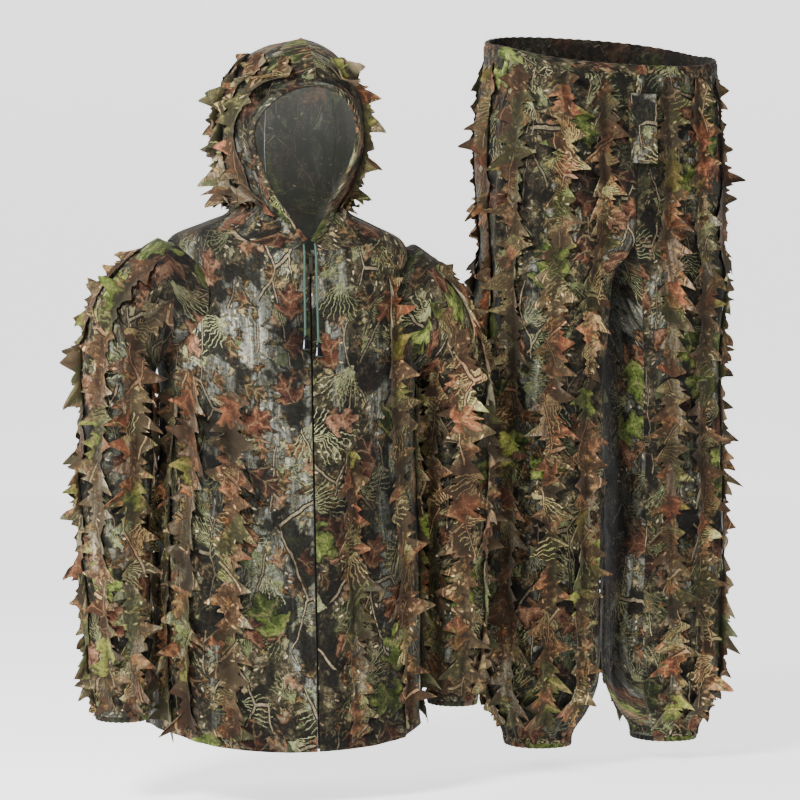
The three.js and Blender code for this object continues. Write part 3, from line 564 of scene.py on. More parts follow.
# %% [markdown]
# ## From a grid to a piece of cloth
# A sheet with no thickness has no edge to catch the light, and a printer or a physics program
# can't use it, so every piece is a closed skin: the outer grid, an inner copy, and a rim along
# every free edge. The flat map is made by adding up distances along the rows and columns, so
# that the print keeps its real size wherever the cloth goes.

# %% Cloth builder
CLOTH_MM = 1.2


def normals_of(grid, closed, towards=None):
    """Unit normals of a grid of points, pointing away from the middle of the rows or along towards."""
    if closed:
        wide = np.concatenate([grid[:, -1:], grid, grid[:, :1]], axis=1)
        across = wide[:, 2:] - wide[:, :-2]
    else:
        across = np.gradient(grid, axis=1)
    up = np.gradient(grid, axis=0)
    normal = np.cross(across, up)
    normal /= np.maximum(np.linalg.norm(normal, axis=2, keepdims=True), 1e-9)
    out = grid - grid.mean(axis=1, keepdims=True) if towards is None else towards
    sign = 1.0 if (normal * out).sum() > 0 else -1.0
    return normal * sign, sign


def flat_map(grid, closed, start=0):
    """Flat places in millimetres: along each row from column start, and up each column."""
    wide = np.concatenate([grid, grid[:, :1]], axis=1) if closed else grid
    along = np.linalg.norm(np.diff(wide, axis=1), axis=2)
    u = np.concatenate([np.zeros((len(wide), 1)), np.cumsum(along, axis=1)], axis=1)
    u = u - u[:, start:start + 1]
    up = np.linalg.norm(np.diff(wide, axis=0), axis=2)
    v = np.concatenate([np.zeros((1, wide.shape[1])), np.cumsum(up, axis=0)], axis=0)
    v = 0.5 * v + 0.5 * v.mean(axis=1, keepdims=True)
    return np.stack([u, v], axis=2)


def build_mesh(name, points, faces, uvs, slots, materials, reach=None, shading=None):
    """A smooth mesh in metres from millimetre points, with its flat map and materials. shading gives the
    points' normals, so that two pieces of one cloth shade as one where they meet."""
    mesh = bpy.data.meshes.new(name)
    mesh.from_pydata((points * MM).tolist(), [], faces.tolist())
    mesh.uv_layers.new(name=MAP).data.foreach_set("uv", (uvs * MM).astype(np.float32).ravel())
    mesh.polygons.foreach_set("material_index", np.asarray(slots, np.int32))
    mesh.polygons.foreach_set("use_smooth", np.ones(len(faces), bool))
    if reach is not None:
        mesh.attributes.new("reach", "FLOAT", "POINT").data.foreach_set(
            "value", reach.astype(np.float32))
    for material in materials:
        mesh.materials.append(material)
    mesh.update()
    if shading is not None:
        mesh.normals_split_custom_set_from_vertices(shading.tolist())
    piece = bpy.data.objects.new(name, mesh)
    bpy.context.scene.collection.objects.link(piece)
    return piece


def cloth(name, grid, uv, closed=False, keep=None, thick=CLOTH_MM, materials=None, reach=None,
          towards=None,
          shaded=None):
    """A closed skin of cloth over a grid of points. keep says which quads of the grid are cloth."""
    rows, cols = grid.shape[:2]
    normal, sign = normals_of(grid, closed, towards)
    normal = normal if shaded is None else shaded
    points = np.concatenate([grid.reshape(-1, 3), (grid - normal * thick).reshape(-1, 3)])
    last = cols if closed else cols - 1
    r, c = np.meshgrid(np.arange(rows - 1), np.arange(last), indexing="ij")
    if keep is not None:
        r, c = r[keep], c[keep]
    r, c = r.ravel(), c.ravel()
    corner_r = np.stack([r, r, r + 1, r + 1], 1)
    corner_c = np.stack([c, c + 1, c + 1, c], 1)
    if sign < 0:
        corner_r, corner_c = corner_r[:, ::-1], corner_c[:, ::-1]
    outer = corner_r * cols + corner_c % cols
    outer_uv = uv[corner_r, corner_c]
    inner, inner_uv = outer[:, ::-1] + rows * cols, outer_uv[:, ::-1]
    start, end = outer, np.roll(outer, -1, axis=1)
    start_uv, end_uv = outer_uv, np.roll(outer_uv, -1, axis=1)
    key = start.astype(np.int64) * len(points) + end
    free = ~np.isin(key, end.astype(np.int64) * len(points) + start)
    i, j = start[free], end[free]
    rim = np.stack([j, i, i + rows * cols, j + rows * cols], 1)
    rim_uv = np.stack([end_uv[free], start_uv[free], start_uv[free], end_uv[free]], 1)
    faces = np.concatenate([outer, inner, rim])
    uvs = np.concatenate([outer_uv, inner_uv, rim_uv])
    slots = np.concatenate([np.zeros(len(outer)), np.ones(len(inner)), np.zeros(len(rim))])
    used, faces = np.unique(faces, return_inverse=True)
    faces = faces.reshape(-1, 4)
    if reach is not None:
        reach = np.concatenate([reach.ravel(), reach.ravel()])[used]
    shading = np.concatenate([normal.reshape(-1, 3), -normal.reshape(-1, 3)])[used]
    return build_mesh(
        name, points[used], faces, uvs, slots, materials or [tricot_face, tricot_back], reach,
        shading)


def area_of(grid, closed):
    """Flat area of a grid in square metres."""
    wide = np.concatenate([grid, grid[:, :1]], axis=1) if closed else grid
    a, b = wide[1:, 1:] - wide[:-1, :-1], wide[1:, :-1] - wide[:-1, 1:]
    return float(np.linalg.norm(np.cross(a, b), axis=2).sum() / 2) * MM * MM


print("cloth is", CLOTH_MM, "mm thick")

# %% [markdown]
# ## The hood cord
# The hood closes with a cord that runs in the casing round the face. Its two free ends hang out
# at the throat, and each ends in a bell-shaped cord end that hides the knot. A cord has a fixed
# length, so it is made first: its route is given by a few points, smoothed to a curve, and a
# round tube is swept along it. Braided polyester shows as fine diamonds, two sets of strands
# that cross at a slant.

# %% Materials of the cord and the bells
def braided_polyester():
    """A round braid: two sets of strands that wind round the cord in opposite directions."""
    material, tree, shader = new_material("braided_polyester")
    uv = add(tree, "UVMap", uv_map=MAP)
    axes = add(tree, "SeparateXYZ", [uv])
    # strands 1.1 mm apart, drawn coarser than the real 0.5 mm so that they show
    round_turn = add(tree, "Math", [axes.outputs[0], FULL_TURN / 0.0023], operation="MULTIPLY")
    along_turn = add(tree, "Math", [axes.outputs[1], FULL_TURN / 0.0034], operation="MULTIPLY")
    left = add(tree, "Math", [round_turn, along_turn], operation="ADD")
    right = add(tree, "Math", [round_turn, along_turn], operation="SUBTRACT")
    left = add(tree, "Math", [left], operation="SINE")
    right = add(tree, "Math", [right], operation="SINE")
    height = add(tree, "Math", [left, right], operation="MULTIPLY")
    # The colour follows the strands' height: painted shade in the hollows between them and painted light on the
    # crests.
    tone = add(tree, "MapRange", {"Value": height.outputs[0], "From Min": -1.0})
    colour = colour_band(tree, tone, ["#0f2019", "#1f4435", "#356350"])
    tree.links.new(colour.outputs[0], shader.inputs["Base Color"])
    bump = add(tree, "Bump", {"Height": height.outputs[0], "Strength": 0.6, "Distance": 0.0003})
    tree.links.new(bump.outputs[0], shader.inputs["Normal"])
    shader.inputs["Roughness"].default_value = 0.5
    shader.inputs["IOR"].default_value = POLYESTER_IOR
    shader.inputs["Sheen Weight"].default_value = 0.15
    return material


def moulded(name, dark, light, roughness, ior, grit_mm):
    """A moulded or painted finish with a faint texture from its mould and small scuffs."""
    material, tree, shader = new_material(name)
    place = add(tree, "TexCoord")
    grit = add(
        tree, "TexNoise",
        {"Vector": place.outputs["Object"], "Scale": 1 / (grit_mm * MM), "Detail": 3.0})
    scuff = add(
        tree, "TexNoise", {"Vector": place.outputs["Object"], "Scale": 90.0, "Detail": 4.0})
    colour = colour_band(tree, scuff.outputs[0], [dark, light])
    tree.links.new(colour.outputs[0], shader.inputs["Base Color"])
    rough = add(tree, "MapRange", {"Value": scuff.outputs[0], "To Min": roughness * 0.7,
                                   "To Max": roughness * 1.5})
    tree.links.new(rough.outputs[0], shader.inputs["Roughness"])
    bump = add(tree, "Bump", {"Height": grit.outputs[0], "Strength": 0.15, "Distance": 0.0002})
    tree.links.new(bump.outputs[0], shader.inputs["Normal"])
    shader.inputs["IOR"].default_value = ior
    return material


cord_braid = braided_polyester()
bell_abs = moulded("moulded_abs", "#050607", "#12151a", 0.16, 1.53, 0.8)
zip_tape_cloth = moulded("woven_polyester_tape", "#15170f", "#25281d", 0.75, POLYESTER_IOR, 0.7)
zip_nylon = moulded("extruded_nylon_coil", "#0d0e0c", "#1a1b18", 0.4, 1.53, 0.6)
zip_zinc = moulded("painted_zinc", "#17180f", "#2b2c22", 0.35, 1.5, 0.5)
elastic_band = moulded("woven_elastic", "#8f8b80", "#b9b5a8", 0.8, 1.52, 0.9)
print("cord and bell materials:", cord_braid.name, bell_abs.name)

# %% The jacket's chart
BODY = [  # height, half width, front depth, back depth
    [267, 0.5, 66, 42], [258, 38, 92, 64], [240, 66, 115, 84], [200, 90, 136, 104], [
        145, 101, 133, 116],
    [95, 98, 118, 112], [50, 91, 101, 98], [20, 85, 94, 80], [2, 124, 98, 90], [
        -18, 170, 104, 101],
    [-45, 183, 110, 112], [
        -110, 187, 113.9, 121], [-260, 190, 122.9, 128], [-420, 195, 132.5, 132],
    [-600, 201, 143.3, 138], [-745, 200, 152, 139], [-760, 200, 152.9, 139],
]
HEM_SIDE_Z, HEM_FRONT_DROP, HEM_BACK_DROP = -727.0, 26.0, 18.0
THROAT_Z = -32.0
BROW_Z = 122.0
BROW_RISE = 71.0
CHEEK = 81.0
CASING_MM = 14.0


def front_depth(z):
    """How far in front of the neck the zip stands at height z."""
    return 110 + 0.06 * (-45 - z)


def body_point(angle, z):
    """Points of the jacket and hood surface at these angles and heights, folds left out."""
    chart = between(BODY, z)
    x, y = section(angle, chart[..., 0], chart[..., 1], chart[..., 2])
    return np.stack([x, y, np.broadcast_to(z, x.shape)], axis=-1)


def front_at(x, z):
    """The surface's Y on the front side, at places x and heights z."""
    chart = between(BODY, z)
    share = np.clip(1 - (np.abs(x) / chart[..., 0]) ** SQUARENESS, 0, 1)
    return -chart[..., 1] * share ** (1 / SQUARENESS)


def face_half_width(z, offset):
    """Half the width of the face opening at heights z, grown by offset."""
    throat, widest = 1.5 + CASING_MM / 2 + offset, CHEEK + offset
    t = np.clip((BROW_Z - z) / (BROW_Z - THROAT_Z), 0, 1)
    cheek = throat + (widest - throat) * (1 - t ** 1.5)
    rise = np.clip((z - BROW_Z) / (BROW_RISE + offset), 0, 1)
    return np.where(z < BROW_Z, cheek, widest * np.sqrt(1 - rise * rise))


print("the face opening is", 2 * CHEEK, "mm wide and", BROW_Z + BROW_RISE - THROAT_Z, "mm tall")

# %% The two cord ends and their bells
CORD_MM = 3.0
CORD_ENDS = {"right": (-8.5, -13.0, 146.0),
             "left": (8.5, 6.0, 156.0)}  # top x, bell x, length in mm
BELL_STAND_OFF = 13.0
BELL_PROFILE = [  # radius and height of the cord end, from inside the top, down and out, and back up
    (2.1, 0), (2.1, -4), (3.6, -7), (5.0, -13), (
        5.8, -19.4), (6.2, -20), (7.2, -20), (7.5, -19.4),
    (7.35, -17.6), (6.9, -16.8), (6.7, -16.2), (6.2, -13.8), (5.4, -11), (4.5, -6.6),
                (4.35, -6), (4.5, -5.4),
    (4.4, -4.6), (4.2, -4), (4.3, -3.4), (4.1, -1.2), (3.7, -0.3), (3.2, 0),
]


def sweep(path, profile, side, front):
    """A grid of points: a closed profile carried along a path. side and front are its two axes."""
    return path[:, None] + profile[
        None, :, :1] * side[:, None] + profile[None, :, 1:] * front[:, None]


def axes_along(path, towards):
    """Unit vectors across a path, for a profile carried along it: sideways, and towards a direction."""
    tangent = np.gradient(path, axis=0)
    tangent /= np.linalg.norm(tangent, axis=1, keepdims=True)
    side = np.cross(tangent, towards)
    side /= np.linalg.norm(side, axis=1, keepdims=True)
    return side, np.cross(side, tangent)


def closed_skin(name, grid, material, body=None, wrap=False):
    """A skin over a grid whose rows are closed loops. Its ends are capped, or joined if wrap is set."""
    rows, around = grid.shape[:2]
    full = np.concatenate([grid, grid[:1]]) if wrap else grid
    uv = flat_map(full, True)
    r, c = np.meshgrid(np.arange(len(full) - 1), np.arange(around), indexing="ij")
    r, c = r.ravel(), c.ravel()
    corner_r, corner_c = np.stack([r, r, r + 1, r + 1], 1), np.stack([c, c + 1, c + 1, c], 1)
    faces = (corner_r % rows) * around + corner_c % around
    piece = build_mesh(name, grid.reshape(-1, 3), faces, uv[corner_r, corner_c],
                       np.zeros(len(faces)),
                       [material])
    finish = bmesh.new()
    finish.from_mesh(piece.data)
    if not wrap:
        bmesh.ops.contextual_create(finish,
                                    geom=[e for e in finish.edges if e.is_boundary and all(
            v.index < around for v in e.verts)])
        bmesh.ops.contextual_create(finish,
                                    geom=[e for e in finish.edges if e.is_boundary and all(
            v.index >= (rows - 1) * around for v in e.verts)])
    bmesh.ops.recalc_face_normals(finish, faces=finish.faces)
    finish.to_mesh(piece.data)
    finish.free()
    if body:
        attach(piece, body)
    return piece


def smooth_route(points, count):
    """A smooth curve through a few points (Catmull-Rom), as count + 1 points."""
    p = np.array(points, float)
    p = np.concatenate([2 * p[:1] - p[1:2], p, 2 * p[-1:] - p[-2:-1]])
    route = []
    for i in range(1, len(p) - 2):
        t = np.linspace(0, 1, 24, endpoint=i == len(p) - 3)[:, None]
        route.append(0.5
                     * (2 * p[i] + (p[i + 1] - p[i - 1]) * t
                        + (2 * p[i - 1] - 5 * p[i] + 4 * p[i + 1] - p[i + 2])
                            * t**2 + (3 * p[i] - p[i - 1] - 3 * p[i + 1] + p[i + 2]) * t**3))
    return even(np.concatenate(route), count)


turn = np.linspace(0, FULL_TURN, 16, endpoint=False)
round_profile = CORD_MM / 2 * np.stack([np.cos(turn), np.sin(turn)], 1)
top_y = float(front_at(np.array(8.5), np.array(THROAT_Z))) + 0.8
for name, (top_x, bell_x, length) in CORD_ENDS.items():
    low = THROAT_Z - length
    hang_y = -front_depth(low + 30) - BELL_STAND_OFF
    quarter_x, most_x = top_x + (bell_x - top_x) * 0.25, top_x + (bell_x - top_x) * 0.6
    route = smooth_route([
        (top_x, top_y - 0.4, THROAT_Z - 1.6),
        (top_x, top_y - 3.6, THROAT_Z - 8),
        (quarter_x, -front_depth(THROAT_Z - 20) - 5, THROAT_Z - 20),
        (most_x, -front_depth(THROAT_Z - 60) - 8, THROAT_Z - 60),
        (bell_x, hang_y, low + 30),
        (bell_x, hang_y, low),
    ], 90)
    side, front = axes_along(route, (0.0, 1.0, 0.0))
    cord = closed_skin(
        f"hood_cord_{name}", sweep(route, round_profile, side, front), cord_braid, "jacket")
    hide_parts(f"drawcord_end_{name}")
    bell_turn = np.linspace(0, FULL_TURN, 32, endpoint=False)
    bell_grid = np.array([[(bell_x + r * math.cos(a), hang_y + r * math.sin(a), low + 12 + z)
                           for a in bell_turn] for r, z in BELL_PROFILE])
    bell = closed_skin(f"bell_{name}", bell_grid, bell_abs, "jacket", wrap=True)
    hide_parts(f"cord_bell_{name}")

# %% [markdown]
# ## Jacket panels
# The body of the jacket is one back panel and two fronts that meet at a concealed zip. The hem
# is turned up and sewn 18 mm above the edge. Folds hang from the chest, deeper towards the hem.
# All three panels read the same fold function, so their side seams meet. The armholes are cut
# afterwards with a boolean, which leaves a clean round edge that a grid of quads could not.

# %% Jacket surface
PANEL_ROWS = 150
HEM_SEAM = 18.0
NECK_BACK_Z, NECK_SIDE_Z, NECK_FRONT_Z = 20.0, 16.0, -43.0


def neckline(angle):
    """Height of the seam between jacket and hood."""
    c = np.cos(angle)
    rise = np.where(c > 0, NECK_FRONT_Z - NECK_SIDE_Z, NECK_BACK_Z - NECK_SIDE_Z)
    return NECK_SIDE_Z + rise * c * c


def hemline(angle):
    """Height of the jacket's lower edge: it dips in front and a little at the back."""
    c = np.cos(angle)
    return HEM_SIDE_Z - np.where(c > 0, HEM_FRONT_DROP, HEM_BACK_DROP) * c * c


def jacket_folds(angle, z):
    """How far folds stand out of the jacket's surface, in millimetres."""
    turns = angle / FULL_TURN
    drop = ease(-z, 60, 500)
    soft = 5.0 * hills(turns * 12, z / 240, 5, 12) * (0.35 + 0.65 * drop)
    narrow = 8.5 * (creases(turns * 16 + 0.3 * hills(turns * 4, z / 200, 8, 4), z / 330, 6, 16)
                    - 0.35) * drop
    cross = 4.0 * (creases(turns * 9, z / 75 + 2.5 * np.abs(np.sin(angle)), 7, 9) - 0.3)
    small = 1.1 * hills(turns * 48, z / 34, 9, 48)
    at_zip = 0.04 + 0.96 * ease(np.abs(np.sin(angle)) + (np.cos(angle) < 0), 0.03, 0.22)
    at_neck = 1 - 0.75 * ease(z, -70, -10)
    hem = -1.3 * np.exp(-((z - hemline(angle) - HEM_SEAM) / 1.8) ** 2)
    return (soft + narrow + cross + small) * at_zip * at_neck + hem


def panel(angle_from, angle_to, cols):
    """A jacket panel's grid between two angles, with its folds."""
    dense = np.linspace(angle_from, angle_to, 1500)
    x, y = section(dense, 190.0, 120.0, 126.0)
    run = np.concatenate([[0], np.cumsum(np.hypot(np.diff(x), np.diff(y)))])
    angles = np.interp(np.linspace(0, run[-1], cols + 1), run, dense)
    t = np.linspace(0, 1, 600)
    columns = []
    for angle in angles:
        z = hemline(angle) + (neckline(angle) - hemline(angle)) * t
        columns.append(even(body_point(np.full_like(z, angle), z), PANEL_ROWS))
    grid = np.stack(columns, axis=1)
    normal, _ = normals_of(grid, False)
    folds = jacket_folds(np.broadcast_to(angles, grid.shape[:2]), grid[..., 2])
    return grid + normal * folds[..., None], normal


ZIP_HALF_GAP_ANGLE = math.asin((1.5 / 190) ** (SQUARENESS / 2))
SIDE = math.pi / 2
PANELS = {
    "jacket_front_left": (ZIP_HALF_GAP_ANGLE, SIDE, 62, 0),
    "jacket_front_right": (-SIDE, -ZIP_HALF_GAP_ANGLE, 62, 62),
    "jacket_back": (SIDE, 3 * SIDE, 124, 62),
}
grids = {}
for name, (start, stop, cols, middle) in PANELS.items():
    grid, normal = panel(start, stop, cols)
    grids[name] = (grid, normal)
    uv = flat_map(grid, False, middle) + (900.0 if name == "jacket_back" else 0.0, 0.0)
    if name == "jacket_front_left":
        uv = uv + (430.0, 85.0)
    piece = cloth(name + "_cloth", grid, uv)
    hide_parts(name)
    grids[name] += (piece,)
    print(
        piece.name, len(piece.data.polygons), "faces,", round(area_of(grid, False), 3),
        "square metres")

# %% Cut the armholes
ARMHOLE_Z, ARMHOLE_RADIUS = -112.0, 86.0


def cut_armhole(piece, side):
    """Cuts a round armhole through one side of a panel."""
    drill = bmesh.new()
    bmesh.ops.create_cone(drill, cap_ends=True, segments=96, radius1=ARMHOLE_RADIUS * MM,
                          radius2=ARMHOLE_RADIUS * MM, depth=130 * MM)
    bmesh.ops.rotate(drill, verts=drill.verts, matrix=Matrix.Rotation(math.pi / 2, 3, "Y"))
    bmesh.ops.translate(drill, verts=drill.verts, vec=(side * 185 * MM, 0, ARMHOLE_Z * MM))
    mesh = bpy.data.meshes.new("armhole_cutter")
    drill.to_mesh(mesh)
    drill.free()
    cutter = bpy.data.objects.new("armhole_cutter", mesh)
    bpy.context.scene.collection.objects.link(cutter)
    cut = piece.modifiers.new("armhole", "BOOLEAN")
    cut.operation, cut.solver, cut.object = "DIFFERENCE", "EXACT", cutter
    bpy.context.view_layer.update()
    whole = piece.evaluated_get(bpy.context.evaluated_depsgraph_get())
    new_mesh = bpy.data.meshes.new_from_object(whole)
    piece.modifiers.clear()
    piece.data = new_mesh
    bpy.data.objects.remove(cutter)


for name, side in (
    ("jacket_front_left", 1), ("jacket_front_right", -1), ("jacket_back", 1),
    ("jacket_back", -1)):
    cut_armhole(grids[name][2], side)
for name in PANELS:
    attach(grids[name][2], "jacket")
print("armholes are", 2 * ARMHOLE_RADIUS, "mm across")

# %% [markdown]
# ## Sleeves
# The sleeve head is a tube that fills the armhole, turns down over the arm and narrows to an elastic cuff. One
# piece of cloth crosses the elbow.

# %% Sleeve surface
ARM = [  # height, half width, half depth, how far back, middle x
    [-200, 52, 78, 0, 256], [-330, 52, 74, -1, 256], [-430, 51, 70, -4, 255], [
        -560, 49, 64, -11, 254],
    [-650, 45, 58, -18, 253], [-685, 38, 47, -20, 253], [-712, 35, 42, -21, 253],
]
SLEEVE_RADIUS = 84.0
CUFF_Z = -712.0
BEND_END_Z = ARMHOLE_Z - SLEEVE_RADIUS - 24


def sleeve_frame(t):
    """Inner and outer point, half depth and backward shift of the sleeve's section at t, from 0 to 3."""
    if t <= 1:
        x = 142 + 48 * t
        return (x, ARMHOLE_Z - SLEEVE_RADIUS), (
            x - 5 * t, ARMHOLE_Z + SLEEVE_RADIUS), SLEEVE_RADIUS, 0.0
    if t <= 2:
        s, c = math.sin((t - 1) * math.pi / 2), math.cos((t - 1) * math.pi / 2)
        reach = 104 + 72 * (1 - s) ** 1.1
        inner = (190 + 14 * s, ARMHOLE_Z - SLEEVE_RADIUS - 24 * (t - 1))
        return inner, (inner[0] + reach * s, inner[1] + reach * c), 84 - 7 * (t - 1) ** 1.3, 0.0
    z = BEND_END_Z + (CUFF_Z + 8 - BEND_END_Z) * (t - 2)
    half, depth, y, x = between(ARM, np.array(z))
    return (x - half, z), (x + half, z), depth, y


def sleeve_folds(angle, t, z, seed):
    """Folds of the sleeve: drag lines at the elbow, gathers at the cuff."""
    turns = angle / FULL_TURN
    soft = 4.2 * hills(turns * 6, z / 110, seed, 6)
    slant = turns * 6 + z / 160
    drag = 5.5 * (creases(slant, z / 52, seed + 1, 6) - 0.32)
    long_fold = 3.5 * (creases(turns * 9, z / 260, seed + 2, 9) - 0.35)
    gather = np.exp((CUFF_Z - z) / 42)
    pleats = 2.6 * np.cos(FULL_TURN * 22 * turns + 2.5
                          * hills(turns * 22, z / 40, seed + 3, 22)) * gather
    small = 0.9 * hills(turns * 30, z / 28, seed + 4, 30)
    head = ease(t, 1.02, 1.5)
    return (soft + drag + long_fold + small) * head * (1 - 0.6 * gather) + pleats * head


sleeve_t = np.concatenate([np.linspace(0, 1, 11)[:-1], np.linspace(1, 2, 49)[:-1],
                           np.linspace(2, 3, 101)])
sleeve_angles = np.linspace(0, FULL_TURN, 100, endpoint=False)
for name, side in (("right", -1), ("left", 1)):
    rows = []
    for t in sleeve_t:
        inner, outer, depth, back = sleeve_frame(t)
        c = (1 - np.cos(sleeve_angles)) / 2
        rows.append(np.stack([side * (inner[0] + (outer[0] - inner[0]) * c),
                              back + depth * np.sin(sleeve_angles),
                              inner[1] + (outer[1] - inner[1]) * c], 1))
    grid = np.stack(rows)[::-1]
    normal, _ = normals_of(grid, True)
    t_grid = np.broadcast_to(sleeve_t[::-1, None], grid.shape[:2])
    folds = sleeve_folds(
        np.broadcast_to(sleeve_angles, grid.shape[:2]), t_grid, grid[..., 2], 20 + side)
    grid = grid + normal * folds[..., None]
    grids[f"sleeve_{name}"] = (grid, normal)
    uv = flat_map(grid, True) + (1700.0 + 650.0 * side, 40.0)
    piece = cloth(f"sleeve_{name}_cloth", grid, uv, closed=True)
    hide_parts(f"sleeve_{name}_upper", f"sleeve_{name}_lower")
    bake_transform(piece)
    print(piece.name, len(piece.data.polygons), "faces")

# %% [markdown]
# ## Hood
# Two panels meet in a seam that runs from the brow over the crown to the nape. Each is a grid from the face
# edge round to the back of the head, row by row, so its front edge follows the face opening exactly.

# %% Hood surface
HOOD_COLS = 64


def hood_folds(angle, z):
    """Folds of the hood: upright ones at the side, a soft roll above the neck seam."""
    turns = angle / FULL_TURN
    soft = 4.0 * hills(turns * 9, z / 90, 31, 9)
    upright = 4.5 * (creases(turns * 14, z / 150, 32, 14) - 0.35)
    small = 1.0 * hills(turns * 50, z / 25, 33, 50)
    ends = ease(z, NECK_FRONT_Z, 40) * (1 - 0.8 * ease(z, 215, 255))
    seam = 1 - 0.9 * np.exp(-(np.sin(angle / 2 + math.pi / 2) / 0.03) ** 2)
    return (soft + upright + small) * ends * seam


hood_rows = []
t_side = np.linspace(0, 1, 96)
dense = np.linspace(0, math.pi, 1600)
for t in t_side:
    z = neckline(dense) - 1.0 + (267 - neckline(dense) + 1.0) * t
    line = body_point(dense, z)
    edge = face_half_width(z, 3.0)
    face = (line[:, 0] < edge) & (dense < math.pi / 2) & (z < BROW_Z + BROW_RISE + 3)
    first = int(np.flatnonzero(face)[-1]) + 1 if face.any() else 0
    kept = np.concatenate([line[first:], dense[first:, None]], axis=1)
    hood_rows.append(even(kept, HOOD_COLS))
hood_rows = np.stack(hood_rows)
for name, side in (("left", 1), ("right", -1)):
    grid, angles = hood_rows[..., :3] * (side, 1, 1), side * hood_rows[..., 3]
    normal, _ = normals_of(grid, False)
    out = grid * (1, 1, 0.4)
    normal *= np.sign((normal * out).sum(axis=2, keepdims=True))
    grid = grid + normal * hood_folds(angles, grid[..., 2])[..., None]
    grid[..., 0] = np.where(side * grid[..., 0] < 0.3, 0.3 * side, grid[..., 0])
    grids[f"hood_{name}"] = (grid, normal)
    uv = flat_map(grid, False, HOOD_COLS) + (2900.0 + 400 * side, 700.0)
    piece = cloth(f"hood_{name}_cloth", grid, uv)
    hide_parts(f"hood_{name}")
    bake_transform(piece)

# %% [markdown]
# ## Trousers
# Each trouser leg is one piece of cloth from the waist to the ankle, joined to the other along
# the middle of the hips. Above the crotch a row is half of the hip section; below it the row
# closes round the leg. Every row is measured out between the same four landmarks (front middle,
# outer side, back middle, inner side), so the columns run straight down through the change. The
# leg is split at mid-thigh, because the hip and the knee are two joints and a piece can be
# blended across only one.

# %% Trouser surface
TROUSERS_AT = np.array([556.0, 104.0, 0.0])
HIPS = [  # height, half width, front depth, back depth
    [360, 181, 119, 122], [300, 182, 121, 124], [240, 188, 127, 131], [140, 197, 133, 141],
        [60, 199, 132, 143],
    [-4, 197, 128, 139], [-60, 195, 126, 136],
]
HIP_SQUARENESS = 2.6
LEG = [  # height, half width, front depth, back depth, middle from the centre
    [-4, 95, 124, 134, 100], [-90, 93, 115, 122, 101], [
        -220, 91, 108, 112, 103], [-392, 89, 103, 104, 105],
    [-560, 90, 101, 102, 107], [-690, 91, 98, 99, 108], [-745, 76, 80, 80, 109],
       [-778, 54, 58, 58, 110],
    [-800, 49, 54, 54, 110],
]
CROTCH_Z = -4.0
ANKLE_Z = -800.0
SPLIT_Z = -222.0
QUARTER = (38, 38, 22,
           22)  # columns: front to side, side to back, back to inner, inner to front


def waist_top(angle):
    """Height of the waist edge, lower in front."""
    return 300 - 38 * np.cos(angle)


def hip_quarters(z):
    """Half of the hip section as four lines between its landmarks."""
    a, front, back = between(HIPS, np.array(z))
    arc = np.linspace(0, math.pi / 2, 90)
    x, y = section(arc, a, front, back, HIP_SQUARENESS)
    outer_front = np.stack([x, y], 1)
    x, y = section(arc + math.pi / 2, a, front, back, HIP_SQUARENESS)
    outer_back = np.stack([x, y], 1)
    middle = (back - front) / 2
    return [
        outer_front, outer_back, np.array([[0.0, back], [0.0, middle]]),
        np.array([[0.0, middle], [0.0, -front]])]


def leg_quarters(z):
    """The leg section as four lines between its landmarks."""
    a, front, back, middle = between(LEG, np.array(z))
    power = 2.2 + 1.2 * float(ease(z, -260, CROTCH_Z))
    lines = []
    for start, stop in ((-45, 90), (90, 225), (225, 270), (270, 315)):
        x, y = section(np.radians(np.linspace(start, stop, 120)), a, front, back, power)
        lines.append(np.stack([x + middle, y], 1))
    return lines


def trouser_row(z):
    """One row of points round half of the trousers at height z."""
    share = float(ease(-z, -CROTCH_Z, 75))
    hips, legs = hip_quarters(max(z, -60)), leg_quarters(min(z, CROTCH_Z))
    row = []
    for hip, leg, count in zip(hips, legs, QUARTER):
        row.append(((1 - share) * even(hip, count) + share * even(leg, count))[:-1])
    return np.concatenate(row)


def trouser_folds(turns, z, seed):
    """Folds of the trousers: gathers at waist and ankle, upright folds down the leg, drags at the knee."""
    waist = np.exp(-(262 - z).clip(0) / 60)
    ankle = np.exp((ANKLE_Z + 20 - z) / 40)
    knee = np.exp(-((z + 392) / 90) ** 2)
    soft = 4.5 * hills(turns * 7, z / 200, seed, 7)
    upright = 9.5 * (creases(turns * 12 + 0.4 * hills(turns * 3, z / 150, seed + 5, 3), z / 420,
                             seed + 1, 12) - 0.33)
    drag = (1.8 + 4.5 * knee) * (creases(turns * 5 + z / 210, z / 48, seed + 2, 5) - 0.32)
    gathers = 3.4 * waist * (np.cos(FULL_TURN * 34 * turns + 2.2
                                    * hills(turns * 17, z / 60, seed + 3, 17)))
    bunch = 3.0 * ankle * np.cos(FULL_TURN * 22 * turns + 2.0
                                 * hills(turns * 11, z / 30, seed + 4, 11))
    pouch = 5.0 * np.exp(-((z + 735) / 26) ** 2) * hills(turns * 9, z / 40, seed + 6, 9)
    small = 1.0 * hills(turns * 40, z / 30, seed + 7, 40)
    return (soft + upright + drag + small) * (1 - 0.55 * waist) * (1
                                                                   - ankle.clip(0,
                                                                                1)) + gathers + bunch + pouch


